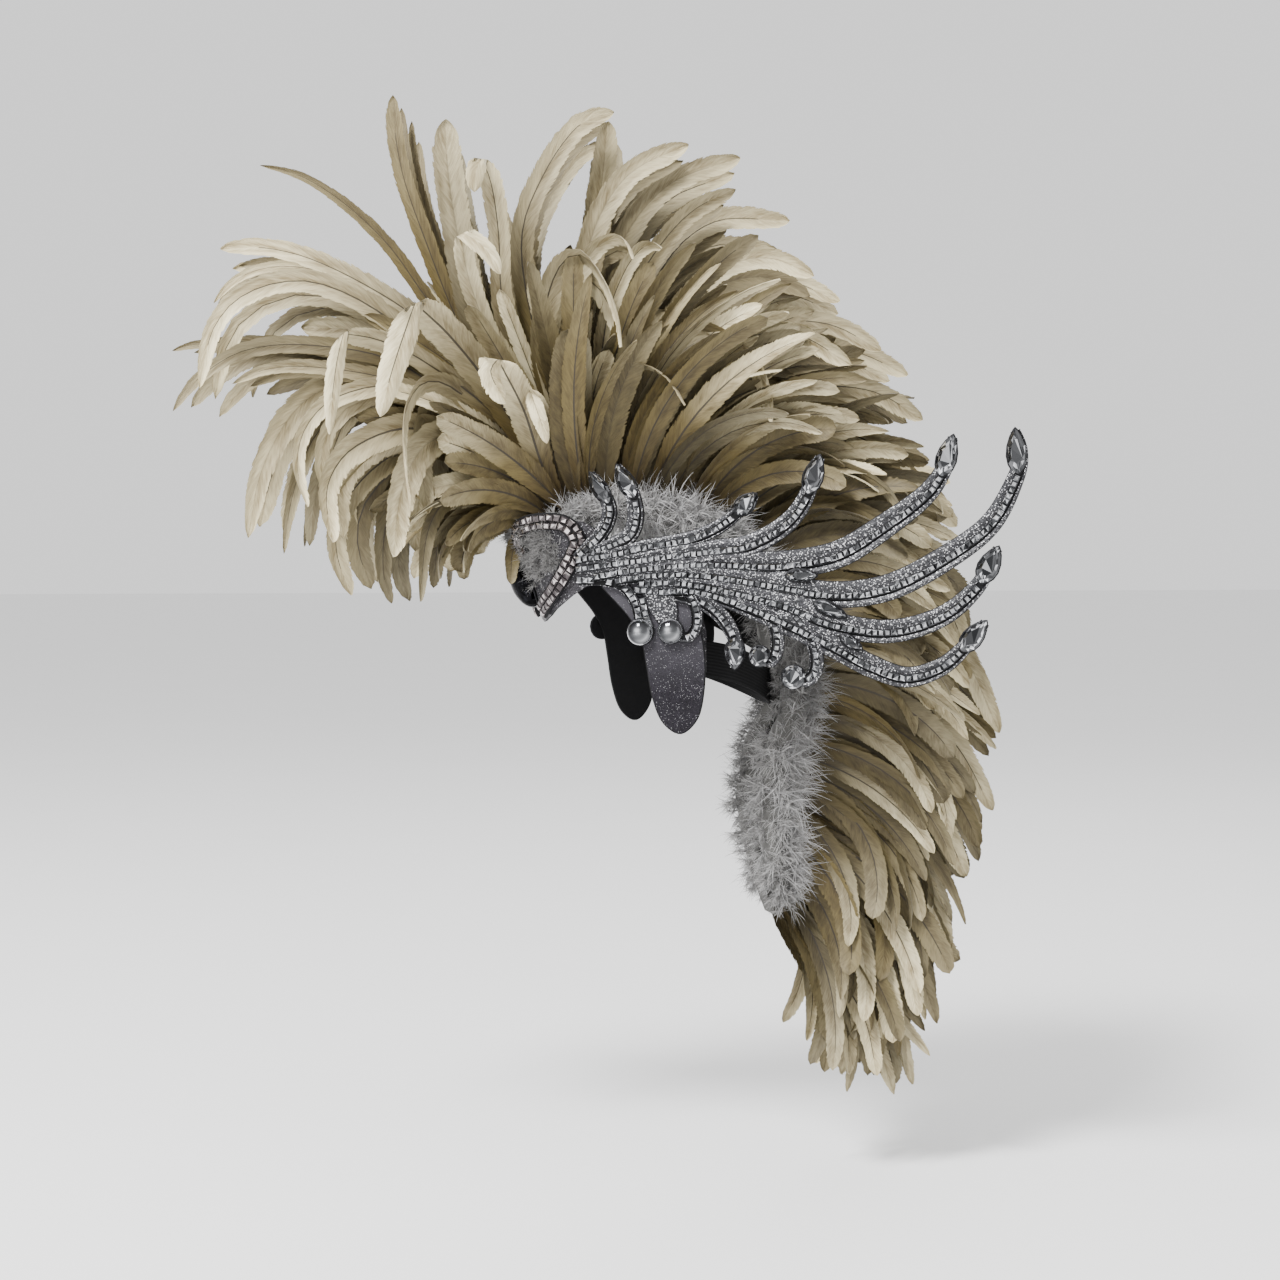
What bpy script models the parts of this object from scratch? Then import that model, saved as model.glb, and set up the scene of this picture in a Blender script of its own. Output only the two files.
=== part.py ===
"""Feathered show headdress: a foam crown band with a pair of cut-out wing plates, crystals, a centre stone, cheek
flaps, an elastic strap, and a crest strip that carries tail-feather plumes and a marabou trim.

The frame has +X to the wearer's left, -Y to the front and +Z up. The origin is the middle of the head opening, at
the height where the band and the strap grip the head.
"""

import math

import bmesh
import bpy
from mathutils import Matrix, Vector

# Head opening and shared clearance
HEAD_WIDTH = 0.156
HEAD_LENGTH = 0.190
GAP = 0.0003

# Crown band
BAND_WALL = 0.003
BAND_RISE = 0.100
BAND_END_ANGLE = 104.0
BAND_COLUMNS = 30
BAND_ROWS = 2
FRONT_LEAN = 21.0
LEAN_END_ANGLE = 46.0
# Each row: share of the end angle, lower edge and upper edge as shares of the rise
BAND_SECTIONS = (
    (0.00, 0.17, 0.89),
    (0.12, 0.21, 0.94),
    (0.27, 0.33, 1.03),
    (0.40, 0.46, 1.00),
    (0.55, 0.53, 0.84),
    (0.75, 0.46, 0.84),
    (0.90, 0.10, 0.72),
    (1.00, -0.24, 0.10),
)

# Front scroll, a raised strip on the band
SCROLL_WIDTH = 0.0105
SCROLL_DEPTH = 0.003
SCROLL_STATIONS = 18
# Each row: share of the band's end angle, share of the band's rise
SCROLL_PATH = (
    (0.085, 0.26),
    (0.22, 0.40),
    (0.30, 0.54),
    (0.36, 0.70),
    (0.385, 0.85),
    (0.34, 0.98),
    (0.24, 1.00),
    (0.14, 0.95),
    (0.085, 0.83),
    (0.115, 0.73),
)

# Centre stone
CENTRE_STONE_HEIGHT = 0.044
CENTRE_STONE_WIDTH = 0.028
CENTRE_STONE_DEPTH = 0.011
CENTRE_STONE_UP = 0.050

# Elastic strap round the back of the head
STRAP_WALL = 0.0016
STRAP_WIDTH = 0.030
STRAP_EAR_UP = -0.012
STRAP_BACK_UP = -0.040
STRAP_COLUMNS = 20
STRAP_LAP_ANGLE = 10.0

# Crest strip, from the band's front over the head and down behind the neck
STRIP_WALL = 0.004
STRIP_WIDTH = 0.036
STRIP_NOSE_WIDTH = 0.014
STRIP_NOSE_UP = 0.078
STRIP_RISE = 0.100
TAIL_DROP = 0.235
STRIP_COLUMNS = 30
# Over the head: share of the head's length, share of the rise
STRIP_OVER_HEAD = ((-0.52, 0.90), (-0.40, 0.98), (-0.20, 1.01), (0.03, 0.98), (0.22, 0.83), (0.38, 0.57), (0.48, 0.24))
# Behind the neck: share of the head's length, share of the drop
STRIP_TAIL = ((0.455, -0.41), (0.44, -0.66), (0.47, -0.86), (0.53, -1.0))

# Feather plumes
PAD_WIDTH = 0.026
PAD_DEPTH = 0.004
FEATHER_WIDTH = 0.021
FEATHER_DEPTH = 0.0026
LONGEST_FEATHER = 0.400
FEATHER_STATIONS = 5
BEND_POWER = 1.25
# Each row: share along the strip, heading in degrees from straight back through up, bend in degrees, length share
PLUMES = (
    (0.040, 150, 118, 0.44),
    (0.050, 149, 104, 0.58),
    (0.060, 147, 80, 0.70),
    (0.070, 139, 56, 0.82),
    (0.080, 135, 42, 0.87),
    (0.090, 128, 26, 0.89),
    (0.100, 122, 14, 0.93),
    (0.112, 110, 5, 0.92),
    (0.124, 106, -22, 0.90),
    (0.138, 104, -42, 0.88),
    (0.155, 101, -55, 0.86),
    (0.175, 98, -66, 0.85),
    (0.200, 94, -76, 0.78),
    (0.240, 85, -83, 0.70),
    (0.285, 76, -86, 0.66),
    (0.335, 65, -82, 0.63),
    (0.390, 50, -82, 0.60),
    (0.445, 33, -78, 0.56),
    (0.500, 18, -72, 0.56),
    (0.560, 8, -70, 0.58),
    (0.625, 0, -70, 0.60),
    (0.695, -8, -74, 0.66),
    (0.765, -15, -74, 0.68),
    (0.835, -24, -66, 0.70),
    (0.900, -34, -52, 0.69),
    (0.955, -45, -36, 0.62),
)
# Sideways angles of the rows of feathers, in turn along the strip
FAN_ANGLES = ((-37.5, -12.5, 12.5, 37.5), (-25.0, 0.0, 25.0))
WIDEST_FAN = 37.5
# Each row: share along the strip, how far the fan opens there
FAN_OPENING = ((0.0, 0.50), (0.07, 0.62), (0.14, 1.0), (0.42, 1.0), (0.58, 0.66), (0.80, 0.50), (1.0, 0.30))
OUTER_ROW_SHORTER = 0.18
ROOT_ROW_SPREAD = 0.010
# Each row: name of the plume, its first and last share along the strip
PLUME_NODES = (
    ("plume_brow", 0.035, 0.095),
    ("plume_front", 0.095, 0.165),
    ("plume_crown", 0.165, 0.310),
    ("plume_back", 0.310, 0.530),
    ("plume_nape", 0.530, 0.730),
    ("plume_tail", 0.730, 0.985),
)

# Marabou trim on both sides of the strip
TRIM_STATIONS = 20
TRIM_SIDES = 8
TRIM_LOCK_DEPTH = 0.16
# Each row: share along the strip, radius, how far its middle stands off the strip
TRIM_SECTIONS = (
    (0.06, 0.009, 0.000),
    (0.14, 0.014, 0.000),
    (0.30, 0.016, 0.000),
    (0.46, 0.012, 0.004),
    (0.56, 0.012, 0.008),
    (0.67, 0.014, 0.008),
    (0.74, 0.018, 0.002),
    (0.82, 0.018, 0.000),
    (0.92, 0.010, 0.000),
)

# Wing plates
WING_FLARE = 20.0
WING_REACH = 0.323
WING_RISE = 0.172
PLATE_WALL = 0.003
ROW_WIDTH = 0.0045
ROW_DEPTH = 0.0016
# Corners of a row of stones as a share of its frond's
ROW_DETAIL = 0.75
# Each tendril: name, path as shares of the reach and the rise, widths at root, middle and tip in metres,
# its tip stone's length and width, and how many outline points a side has
TENDRILS = (
    ("front_stem", ((-0.085, 0.37), (-0.052, 0.50), (-0.050, 0.63), (-0.075, 0.75), (-0.098, 0.805)),
     (0.012, 0.013, 0.004), (0.027, 0.012), 5),
    ("rear_stem", ((-0.030, 0.38), (0.012, 0.52), (0.016, 0.65), (-0.003, 0.77), (-0.030, 0.84)),
     (0.013, 0.014, 0.004), (0.027, 0.012), 5),
    ("short_frond", ((-0.095, 0.385), (0.02, 0.44), (0.10, 0.465), (0.175, 0.50), (0.245, 0.575), (0.320, 0.705)),
     (0.012, 0.014, 0.005), (0.021, 0.012), 7),
    ("upper_frond", ((-0.095, 0.38), (0.04, 0.405), (0.18, 0.42), (0.305, 0.455), (0.395, 0.565), (0.445, 0.69),
                     (0.480, 0.880)), (0.012, 0.019, 0.005), (0.026, 0.013), 9),
    ("long_frond", ((-0.100, 0.37), (0.05, 0.385), (0.22, 0.375), (0.38, 0.375), (0.52, 0.42), (0.63, 0.54),
                    (0.745, 0.705), (0.795, 0.850), (0.810, 0.970)), (0.012, 0.023, 0.005), (0.029, 0.013), 11),
    ("sickle_frond", ((-0.100, 0.36), (0.05, 0.36), (0.22, 0.325), (0.38, 0.275), (0.52, 0.235), (0.66, 0.275),
                      (0.80, 0.415), (0.905, 0.570), (0.965, 0.780), (0.977, 0.900), (0.963, 0.998)),
     (0.012, 0.022, 0.005), (0.030, 0.013), 13),
    ("lower_frond", ((-0.100, 0.35), (0.05, 0.335), (0.22, 0.275), (0.38, 0.19), (0.52, 0.095), (0.66, 0.065),
                     (0.785, 0.135), (0.870, 0.27), (0.905, 0.395), (0.922, 0.452)),
     (0.012, 0.020, 0.005), (0.026, 0.013), 12),
    ("bottom_frond", ((-0.100, 0.34), (0.05, 0.31), (0.22, 0.245), (0.38, 0.12), (0.52, -0.01), (0.61, -0.10),
                      (0.70, -0.150), (0.785, -0.10), (0.845, 0.00), (0.892, 0.107)),
     (0.012, 0.019, 0.005), (0.027, 0.013), 12),
    ("ear_leaf", ((-0.03, 0.33), (0.10, 0.30), (0.19, 0.25), (0.245, 0.14), (0.280, 0.01), (0.268, -0.112)),
     (0.014, 0.017, 0.004), (0.023, 0.014), 8),
)
# Each scroll: name, path, width in metres, its end stone's radius, whether that stone is domed, and side points
SCROLLS = (
    ("front_curl", ((-0.110, 0.29), (-0.06, 0.285), (-0.005, 0.255), (0.025, 0.17), (0.033, 0.055)),
     0.0085, 0.0105, True, 7),
    ("ear_curl", ((0.02, 0.30), (0.10, 0.305), (0.145, 0.25), (0.168, 0.18), (0.172, 0.09), (0.150, 0.03),
                  (0.105, 0.060)), 0.0095, 0.0100, True, 10),
    ("inner_curl", ((0.20, 0.28), (0.29, 0.24), (0.345, 0.16), (0.372, 0.07), (0.374, -0.03), (0.358, -0.080),
                    (0.331, -0.056)), 0.0115, 0.0085, False, 10),
    ("outer_curl", ((0.30, 0.24), (0.39, 0.18), (0.44, 0.09), (0.468, -0.01), (0.473, -0.11), (0.452, -0.165),
                    (0.416, -0.153)), 0.0120, 0.0095, False, 10),
)
# Broad parts of the plate that carry no row of their own: path and widths
PLATE_FIELDS = (
    (((-0.125, 0.350), (-0.02, 0.385), (0.10, 0.385), (0.25, 0.345), (0.40, 0.270), (0.46, 0.20)),
     (0.020, 0.027, 0.010), 9),
    (((0.05, 0.30), (0.075, 0.20), (0.095, 0.10)), (0.018, 0.026, 0.010), 5),
)
# Stones set where two fronds part: share of reach, share of rise, turn in degrees, length and width in metres
FORK_STONES = (
    ("upper_fork", 0.436, 0.325, 0.0, 0.020, 0.0085),
    ("middle_fork", 0.508, 0.165, -24.0, 0.023, 0.0090),
    ("lower_fork", 0.560, 0.012, -32.0, 0.017, 0.0075),
)
# The short bar that every row starts from
ROW_HEAD = ((-0.108, 0.282), (-0.100, 0.395))
STONE_DEPTH = 0.0048
STONE_BED = 0.0012

# Cheek flap, glued under the wing plate
FLAP_WALL = 0.003
FLAP_WIDTH = 0.046
FLAP_DROP = 0.074
FLAP_MIDDLE = 0.039
FLAP_OUTLINE_POINTS = 28
# Each row: share of the width from the flap's middle, share of the drop
FLAP_OUTLINE = (
    (-1.36, 0.62), (-1.10, 0.45), (-0.86, 0.28), (-0.66, 0.06), (-0.56, -0.24), (-0.46, -0.58), (-0.27, -0.87),
    (0.06, -1.00), (0.36, -0.84), (0.48, -0.55), (0.50, -0.16), (0.40, 0.20), (0.18, 0.55), (-0.20, 0.86),
    (-0.80, 0.96), (-1.28, 0.84),
)

CURVE_SAMPLES = 12


def clear_scene():
    """Leaves an empty scene and the collections that the pieces go in."""
    for obj in list(bpy.data.objects):
        bpy.data.objects.remove(obj)
    kept = bpy.data.collections.new("feathered_headdress")
    bpy.context.scene.collection.children.link(kept)
    return kept


PARTS = clear_scene()


def material(name, colour, roughness, metallic=0.0):
    """A Principled material in the finish's colour."""
    made = bpy.data.materials.new(name)
    made.use_nodes = True
    shader = made.node_tree.nodes["Principled BSDF"]
    shader.inputs["Base Color"].default_value = (*colour, 1.0)
    shader.inputs["Roughness"].default_value = roughness
    shader.inputs["Metallic"].default_value = metallic
    return made


GLITTER_FOAM = material("glitter_foam", (0.55, 0.55, 0.58), 0.45, 0.6)
CRYSTAL = material("crystal", (0.86, 0.88, 0.90), 0.05, 0.2)
JET = material("jet_stone", (0.02, 0.02, 0.025), 0.08)
ELASTIC = material("black_elastic", (0.015, 0.015, 0.015), 0.8)
STRIP_FELT = material("strip_felt", (0.62, 0.58, 0.50), 0.9)
FEATHER = material("champagne_feather", (0.66, 0.58, 0.44), 0.7)
MARABOU = material("white_marabou", (0.80, 0.79, 0.77), 0.95)


def place(name, mesh, finish):
    """Links a mesh as a named piece of the headdress."""
    obj = bpy.data.objects.new(name, mesh)
    PARTS.objects.link(obj)
    mesh.materials.clear()
    mesh.materials.append(finish)
    return obj


def mesh_of(bm, name="shape"):
    """A mesh from a bmesh, with its faces turned outwards."""
    bmesh.ops.recalc_face_normals(bm, faces=bm.faces)
    mesh = bpy.data.meshes.new(name)
    bm.to_mesh(mesh)
    bm.free()
    return mesh


def loose(mesh):
    """An object outside the headdress's collection, for a shape that is about to be joined."""
    obj = bpy.data.objects.new("loose", mesh)
    bpy.context.scene.collection.objects.link(obj)
    return obj


def evaluated_mesh(obj):
    """The mesh that an object's modifiers or curve settings make, with the ends of a curve welded on."""
    bpy.context.view_layer.update()
    graph = bpy.context.evaluated_depsgraph_get()
    made = bpy.data.meshes.new_from_object(obj.evaluated_get(graph))
    bm = bmesh.new()
    bm.from_mesh(made)
    bmesh.ops.remove_doubles(bm, verts=bm.verts, dist=0.000002)
    return mesh_of(bm)


def fuse(meshes):
    """One mesh from solids that overlap, by an exact Boolean union."""
    first, *others = [loose(mesh) for mesh in meshes]
    group = bpy.data.collections.new("to_join")
    bpy.context.scene.collection.children.link(group)
    for other in others:
        bpy.context.scene.collection.objects.unlink(other)
        group.objects.link(other)
    join = first.modifiers.new("join", "BOOLEAN")
    join.operation = "UNION"
    join.solver = "EXACT"
    join.operand_type = "COLLECTION"
    join.collection = group
    made = evaluated_mesh(first)
    for obj in (first, *others):
        bpy.data.objects.remove(obj)
    bpy.data.collections.remove(group)
    return made


def loft(rings):
    """A closed solid through rings of the same number of points, in order."""
    bm = bmesh.new()
    rows = [[bm.verts.new(point) for point in ring] for ring in rings]
    count = len(rows[0])
    for low, high in zip(rows, rows[1:]):
        for i in range(count):
            j = (i + 1) % count
            bm.faces.new((low[i], low[j], high[j], high[i]))
    bm.faces.new(rows[0])
    bm.faces.new(rows[-1])
    return mesh_of(bm)


def spaced(points, count):
    """So many points at even distances along a smooth curve through the given ones."""
    known = [Vector(p).to_3d() for p in points]
    ends = [2 * known[0] - known[1], *known, 2 * known[-1] - known[-2]]
    fine = []
    for a, b, c, d in zip(ends, ends[1:], ends[2:], ends[3:]):
        for step in range(CURVE_SAMPLES):
            t = step / CURVE_SAMPLES
            fine.append(0.5 * (2 * b + (c - a) * t + (2 * a - 5 * b + 4 * c - d) * t * t
                               + (3 * b - a - 3 * c + d) * t ** 3))
    fine.append(known[-1])
    reached = [0.0]
    for a, b in zip(fine, fine[1:]):
        reached.append(reached[-1] + (b - a).length)
    made, at = [], 0
    for i in range(count):
        wanted = reached[-1] * i / (count - 1)
        while at < len(fine) - 2 and reached[at + 1] < wanted:
            at += 1
        part = (wanted - reached[at]) / max(reached[at + 1] - reached[at], 1e-9)
        made.append(fine[at].lerp(fine[at + 1], min(part, 1.0)))
    return made


def between(table, share, column):
    """A table's column at a share, straight between its rows. The first column holds the shares."""
    for low, high in zip(table, table[1:]):
        if share <= high[0]:
            part = (share - low[0]) / (high[0] - low[0])
            return low[column] + (high[column] - low[column]) * max(part, 0.0)
    return table[-1][column]


def tangents(points):
    """The direction of a row of points at each of them."""
    last = len(points) - 1
    return [(points[min(i + 1, last)] - points[max(i - 1, 0)]).normalized() for i in range(last + 1)]


def grid_mesh(columns, rows, place_point):
    """An open surface: a plain grid whose points are moved to where place_point puts their two shares."""
    bm = bmesh.new()
    bmesh.ops.create_grid(bm, x_segments=columns, y_segments=rows, size=0.5)
    for vert in bm.verts:
        vert.co = place_point(vert.co.x + 0.5, vert.co.y + 0.5)
    mesh = bpy.data.meshes.new("surface")
    bm.to_mesh(mesh)
    bm.free()
    return mesh


def thickened(name, mesh, wall, offset, finish):
    """A piece with a wall, grown from an open surface. Offset 1 grows along its normals and -1 against them."""
    obj = place(name, mesh, finish)
    solid = obj.modifiers.new("wall", "SOLIDIFY")
    solid.thickness = wall
    solid.offset = offset
    solid.use_even_offset = True
    return obj


def mirrored(source, name):
    """The same piece for the wearer's right side."""
    mesh = source.data.copy()
    mesh.transform(source.matrix_world)
    mesh.transform(Matrix.Scale(-1, 4, (1, 0, 0)))
    mesh.flip_normals()
    obj = place(name, mesh, source.data.materials[0])
    for modifier in source.modifiers:
        copy = obj.modifiers.new(modifier.name, modifier.type)
        copy.thickness = modifier.thickness
        copy.offset = modifier.offset
        copy.use_even_offset = modifier.use_even_offset
    return obj


def wall_lean(angle, up):
    """How far the band leans out from the head at an angle from the front and a height."""
    foot = BAND_SECTIONS[0][1] * BAND_RISE
    fade = max(0.0, 1.0 - (abs(angle) / LEAN_END_ANGLE) ** 2)
    return math.tan(math.radians(FRONT_LEAN)) * max(up - foot, 0.0) * fade


def wall_point(angle, up, out=0.0):
    """A point on the band's inner face, or so far out from it. The angle runs from the front to the wearer's left."""
    turn = math.radians(angle)
    stand = out + wall_lean(angle, up)
    return Vector((
        (HEAD_WIDTH / 2 + stand) * math.sin(turn),
        -(HEAD_LENGTH / 2 + stand) * math.cos(turn),
        up,
    ))


def wall_normal(angle, up):
    """The band's outward normal there."""
    step = 0.5
    along = wall_point(angle + step, up) - wall_point(angle - step, up)
    rise = wall_point(angle, up + 0.001) - wall_point(angle, up - 0.001)
    return along.cross(rise).normalized()


def crown_band():
    """The foam wall from ear to ear round the forehead."""
    def at(across, height):
        angle = (across * 2 - 1) * BAND_END_ANGLE
        share = abs(across * 2 - 1)
        foot = between(BAND_SECTIONS, share, 1) * BAND_RISE
        top = between(BAND_SECTIONS, share, 2) * BAND_RISE
        return wall_point(angle, foot + (top - foot) * height)
    return thickened("crown_band", grid_mesh(BAND_COLUMNS, BAND_ROWS, at), BAND_WALL, 1.0, GLITTER_FOAM)


def head_strap():
    """The elastic from one end of the band to the other, round the back of the head."""
    start = BAND_END_ANGLE - STRAP_LAP_ANGLE
    inside = -(STRAP_WALL + GAP)
    run = 360 - 2 * start

    def at(across, height):
        angle = start + run * across
        middle = (1 - math.cos(math.tau * across)) / 2
        up = STRAP_EAR_UP + (STRAP_BACK_UP - STRAP_EAR_UP) * middle + (height - 0.5) * STRAP_WIDTH
        lap = min(1.0, max(0.0, min(across, 1 - across) * run / STRAP_LAP_ANGLE - 1.5))
        turn = math.radians(angle)
        out = inside * (1 - lap)
        return Vector(((HEAD_WIDTH / 2 + out) * math.sin(turn), -(HEAD_LENGTH / 2 + out) * math.cos(turn), up))
    return thickened("head_strap", grid_mesh(STRAP_COLUMNS, 1, at), STRAP_WALL, 1.0, ELASTIC)


def strip_line():
    """The corners of the crest strip's middle line in the median plane, from its nose to the tail's end."""
    nose_low = STRIP_NOSE_UP - STRIP_WALL
    nose_depth = wall_point(0.0, nose_low).y + GAP + STRIP_WALL / 4
    behind = HEAD_LENGTH / 2 + STRAP_WALL + GAP + STRIP_WALL / 2
    points = [(0.0, nose_depth, STRIP_NOSE_UP)]
    points += [(0.0, depth * HEAD_LENGTH, rise * STRIP_RISE) for depth, rise in STRIP_OVER_HEAD]
    points += [(0.0, behind, STRAP_BACK_UP + STRAP_WIDTH * 0.7), (0.0, behind, STRAP_BACK_UP - STRAP_WIDTH * 0.7)]
    points += [(0.0, depth * HEAD_LENGTH, drop * TAIL_DROP) for depth, drop in STRIP_TAIL]
    return spaced(points, STRIP_COLUMNS + 1)


STRIP_LINE = strip_line()
STRIP_HEADINGS = tangents(STRIP_LINE)


def strip_at(share):
    """The crest strip's middle, its outward normal and its direction at a share of its length."""
    place_in = min(max(share, 0.0), 1.0) * (len(STRIP_LINE) - 1)
    low = min(int(place_in), len(STRIP_LINE) - 2)
    part = place_in - low
    middle = STRIP_LINE[low].lerp(STRIP_LINE[low + 1], part)
    heading = STRIP_HEADINGS[low].lerp(STRIP_HEADINGS[low + 1], part).normalized()
    return middle, Vector((0.0, -heading.z, heading.y)), heading


def crest_strip():
    """The stiff strip that carries the crest."""
    def at(along, across):
        middle, normal, _ = strip_at(along)
        width = STRIP_NOSE_WIDTH + (STRIP_WIDTH - STRIP_NOSE_WIDTH) * min(1.0, along * 25)
        return middle - normal * (STRIP_WALL / 2) + Vector((width * (0.5 - across), 0.0, 0.0))
    return thickened("crest_strip", grid_mesh(STRIP_COLUMNS, 1, at), STRIP_WALL, 1.0, STRIP_FELT)


def blade(root, heading, bend, fan, length):
    """A feather as a tapered strip with a raised midrib, curving in its own plane."""
    step = length / FEATHER_STATIONS
    point = root.copy()
    rings = []
    for i in range(FEATHER_STATIONS + 1):
        share = i / FEATHER_STATIONS
        turn = math.radians(heading + bend * share ** BEND_POWER)
        side = math.radians(fan * (1.0 - 0.35 * share))
        along = Vector((math.sin(side), math.cos(side) * math.cos(turn), math.cos(side) * math.sin(turn)))
        across = Vector((0.0, -math.sin(turn), math.cos(turn)))
        face = along.cross(across)
        half = FEATHER_WIDTH / 2 * feather_fullness(share)
        depth = FEATHER_DEPTH / 2 * (0.55 if i == FEATHER_STATIONS else 1.0)
        rings.append([point + across * half, point + face * depth, point - across * half, point - face * depth])
        point = point + along * step
    return loft(rings)


def feather_fullness(share):
    """A feather's width at a share of its length, as a share of its full width."""
    if share < 0.45:
        return 0.16 + 0.84 * math.sin(math.pi / 2 * share / 0.45)
    return max(0.16, math.cos(math.pi / 2 * ((share - 0.45) / 0.62) ** 2.2))


def quill_pad(first, last):
    """The pad that a plume's quills are sewn to, on top of the strip."""
    columns = [i / STRIP_COLUMNS for i in range(STRIP_COLUMNS + 1)]
    rings = []
    for share in (first, *(column for column in columns if first < column < last), last):
        middle, normal, _ = strip_at(share)
        low = middle + normal * (STRIP_WALL / 2 + GAP)
        high = low + normal * PAD_DEPTH
        side = Vector((PAD_WIDTH / 2, 0.0, 0.0))
        rings.append([low - side, low + side, high + side * 0.8, high - side * 0.8])
    return loft(rings)


def plume(name, first, last):
    """One plume: the feathers whose roots lie on a stretch of the strip, sewn to their pad."""
    edge = 0.0009
    pieces = [quill_pad(first + edge, last - edge)]
    for row, (share, heading, bend, reach) in enumerate(PLUMES):
        if not first < share < last:
            continue
        middle, normal, _ = strip_at(share)
        base = middle + normal * (STRIP_WALL / 2 + GAP + PAD_DEPTH * 0.45)
        opening = between(FAN_OPENING, share, 1)
        for fan in FAN_ANGLES[row % 2]:
            outer = abs(fan) / WIDEST_FAN
            root = base + Vector((ROOT_ROW_SPREAD * fan / WIDEST_FAN, 0.0, 0.0))
            length = LONGEST_FEATHER * reach * (1.0 - OUTER_ROW_SHORTER * outer)
            pieces.append(blade(root, heading, bend, fan * opening, length))
    return place(name, fuse(pieces), FEATHER)


def marabou_trim(name):
    """A roll of marabou beside the strip, with its locks as ridges."""
    first, last = TRIM_SECTIONS[0][0], TRIM_SECTIONS[-1][0]
    rings = []
    for i in range(TRIM_STATIONS + 1):
        share = first + (last - first) * i / TRIM_STATIONS
        middle, normal, _ = strip_at(share)
        radius = between(TRIM_SECTIONS, share, 1)
        stand = between(TRIM_SECTIONS, share, 2)
        aside = STRIP_WIDTH / 2 + math.sqrt((radius + GAP) ** 2 - max(stand - STRIP_WALL / 2, 0.0) ** 2)
        centre = middle + normal * stand + Vector((aside, 0.0, 0.0))
        ring = []
        for k in range(TRIM_SIDES):
            lock = 1.0 - TRIM_LOCK_DEPTH * ((i + k) % 2)
            turn = math.tau * k / TRIM_SIDES
            ring.append(centre + (normal * math.sin(turn) - Vector((math.cos(turn), 0.0, 0.0))) * radius * lock)
        rings.append(ring)
    return place(name, loft(rings), MARABOU)


def front_scroll(name):
    """The scroll strip that outlines one half of the front, on the band."""
    out = BAND_WALL + GAP
    path = spaced([(a * BAND_END_ANGLE, h * BAND_RISE * 1000, 0.0) for a, h in SCROLL_PATH], SCROLL_STATIONS)
    points = [wall_point(p.x, p.y / 1000, out) for p in path]
    normals = [wall_normal(p.x, p.y / 1000) for p in path]
    rings = []
    for point, normal, along in zip(points, normals, tangents(points)):
        side = normal.cross(along).normalized() * (SCROLL_WIDTH / 2)
        low = point + normal * 0.0008
        high = low + normal * SCROLL_DEPTH
        rings.append([low - side, low + side, high + side * 0.85, high - side * 0.85])
    return place(name, loft(rings), GLITTER_FOAM)


def stone_mesh(length, width, depth, sides, table, pointed):
    """A cut stone on its flat bed: girdle, sloping facets and a table. Its long axis is X and it faces +Z."""
    bm = bmesh.new()
    bmesh.ops.create_cone(bm, cap_ends=True, segments=sides, radius1=0.5, radius2=0.5 * table, depth=1.0)
    for vert in bm.verts:
        ring = 0.5 if vert.co.z < 0 else 0.5 * table
        along = vert.co.x / ring
        aside = vert.co.y / ring
        if pointed:
            aside = math.copysign(1 - along * along, aside) if abs(aside) > 1e-6 else 0.0
        vert.co = Vector((along * ring * length, aside * ring * width, (vert.co.z + 0.5) * depth + STONE_BED))
    bottom = min(bm.faces, key=lambda face: face.calc_center_median().z)
    bed = bmesh.ops.extrude_face_region(bm, geom=[bottom])
    for item in bed["geom"]:
        if isinstance(item, bmesh.types.BMVert):
            item.co.z = 0.0
    bmesh.ops.delete(bm, geom=[bottom], context="FACES_ONLY")
    return mesh_of(bm)


def dome_mesh(radius, depth):
    """A domed round crystal on its flat bed."""
    bm = bmesh.new()
    bmesh.ops.create_uvsphere(bm, u_segments=10, v_segments=6, radius=1.0)
    bmesh.ops.bisect_plane(bm, geom=bm.verts[:] + bm.edges[:] + bm.faces[:], plane_co=(0, 0, 0),
                           plane_no=(0, 0, 1), clear_inner=True)
    rim = [edge for edge in bm.edges if edge.is_boundary]
    bmesh.ops.contextual_create(bm, geom=rim)
    for vert in bm.verts:
        vert.co = Vector((vert.co.x * radius, vert.co.y * radius, vert.co.z * depth))
    return mesh_of(bm)


def wing_frame():
    """An empty on the left plate's inner face, where the plate meets the band: X back, Y up and Z outwards."""
    flare = math.radians(WING_FLARE)
    outward = Vector((math.cos(flare), -math.sin(flare), 0.0))
    back = Vector((math.sin(flare), math.cos(flare), 0.0))
    reach_x = HEAD_WIDTH / 2 + BAND_WALL
    reach_y = HEAD_LENGTH / 2 + BAND_WALL
    round_support = math.hypot(reach_x * outward.x, reach_y * outward.y)
    touch = Vector((reach_x ** 2 * outward.x / round_support, reach_y ** 2 * outward.y / round_support, 0.0))
    support = max(wall_point(angle, BAND_RISE * rise, BAND_WALL).dot(outward)
                  for angle in range(0, 100, 4) for rise in (0.3, 0.9))
    origin = touch + outward * (support - round_support + GAP + FLAP_WALL + GAP)
    frame = bpy.data.objects.new("left_wing_frame", None)
    PARTS.objects.link(frame)
    up = Vector((0.0, 0.0, 1.0))
    turn = Matrix((back, up, outward)).transposed().to_4x4()
    frame.matrix_world = Matrix.Translation(origin) @ turn
    bpy.context.view_layer.update()
    return frame


def on_wing(points):
    """Points in the plate's plane from shares of its reach and rise."""
    return [Vector((u * WING_REACH, v * WING_RISE, 0.0)) for u, v in points]


def width_at(widths, share):
    """A tendril's width, from the ones at its root, middle and tip."""
    root, middle, tip = widths
    if share < 0.5:
        return root + (middle - root) * math.sin(math.pi * share)
    return tip + (middle - tip) * math.cos(math.pi / 2 * (share * 2 - 1)) ** 0.7


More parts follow.
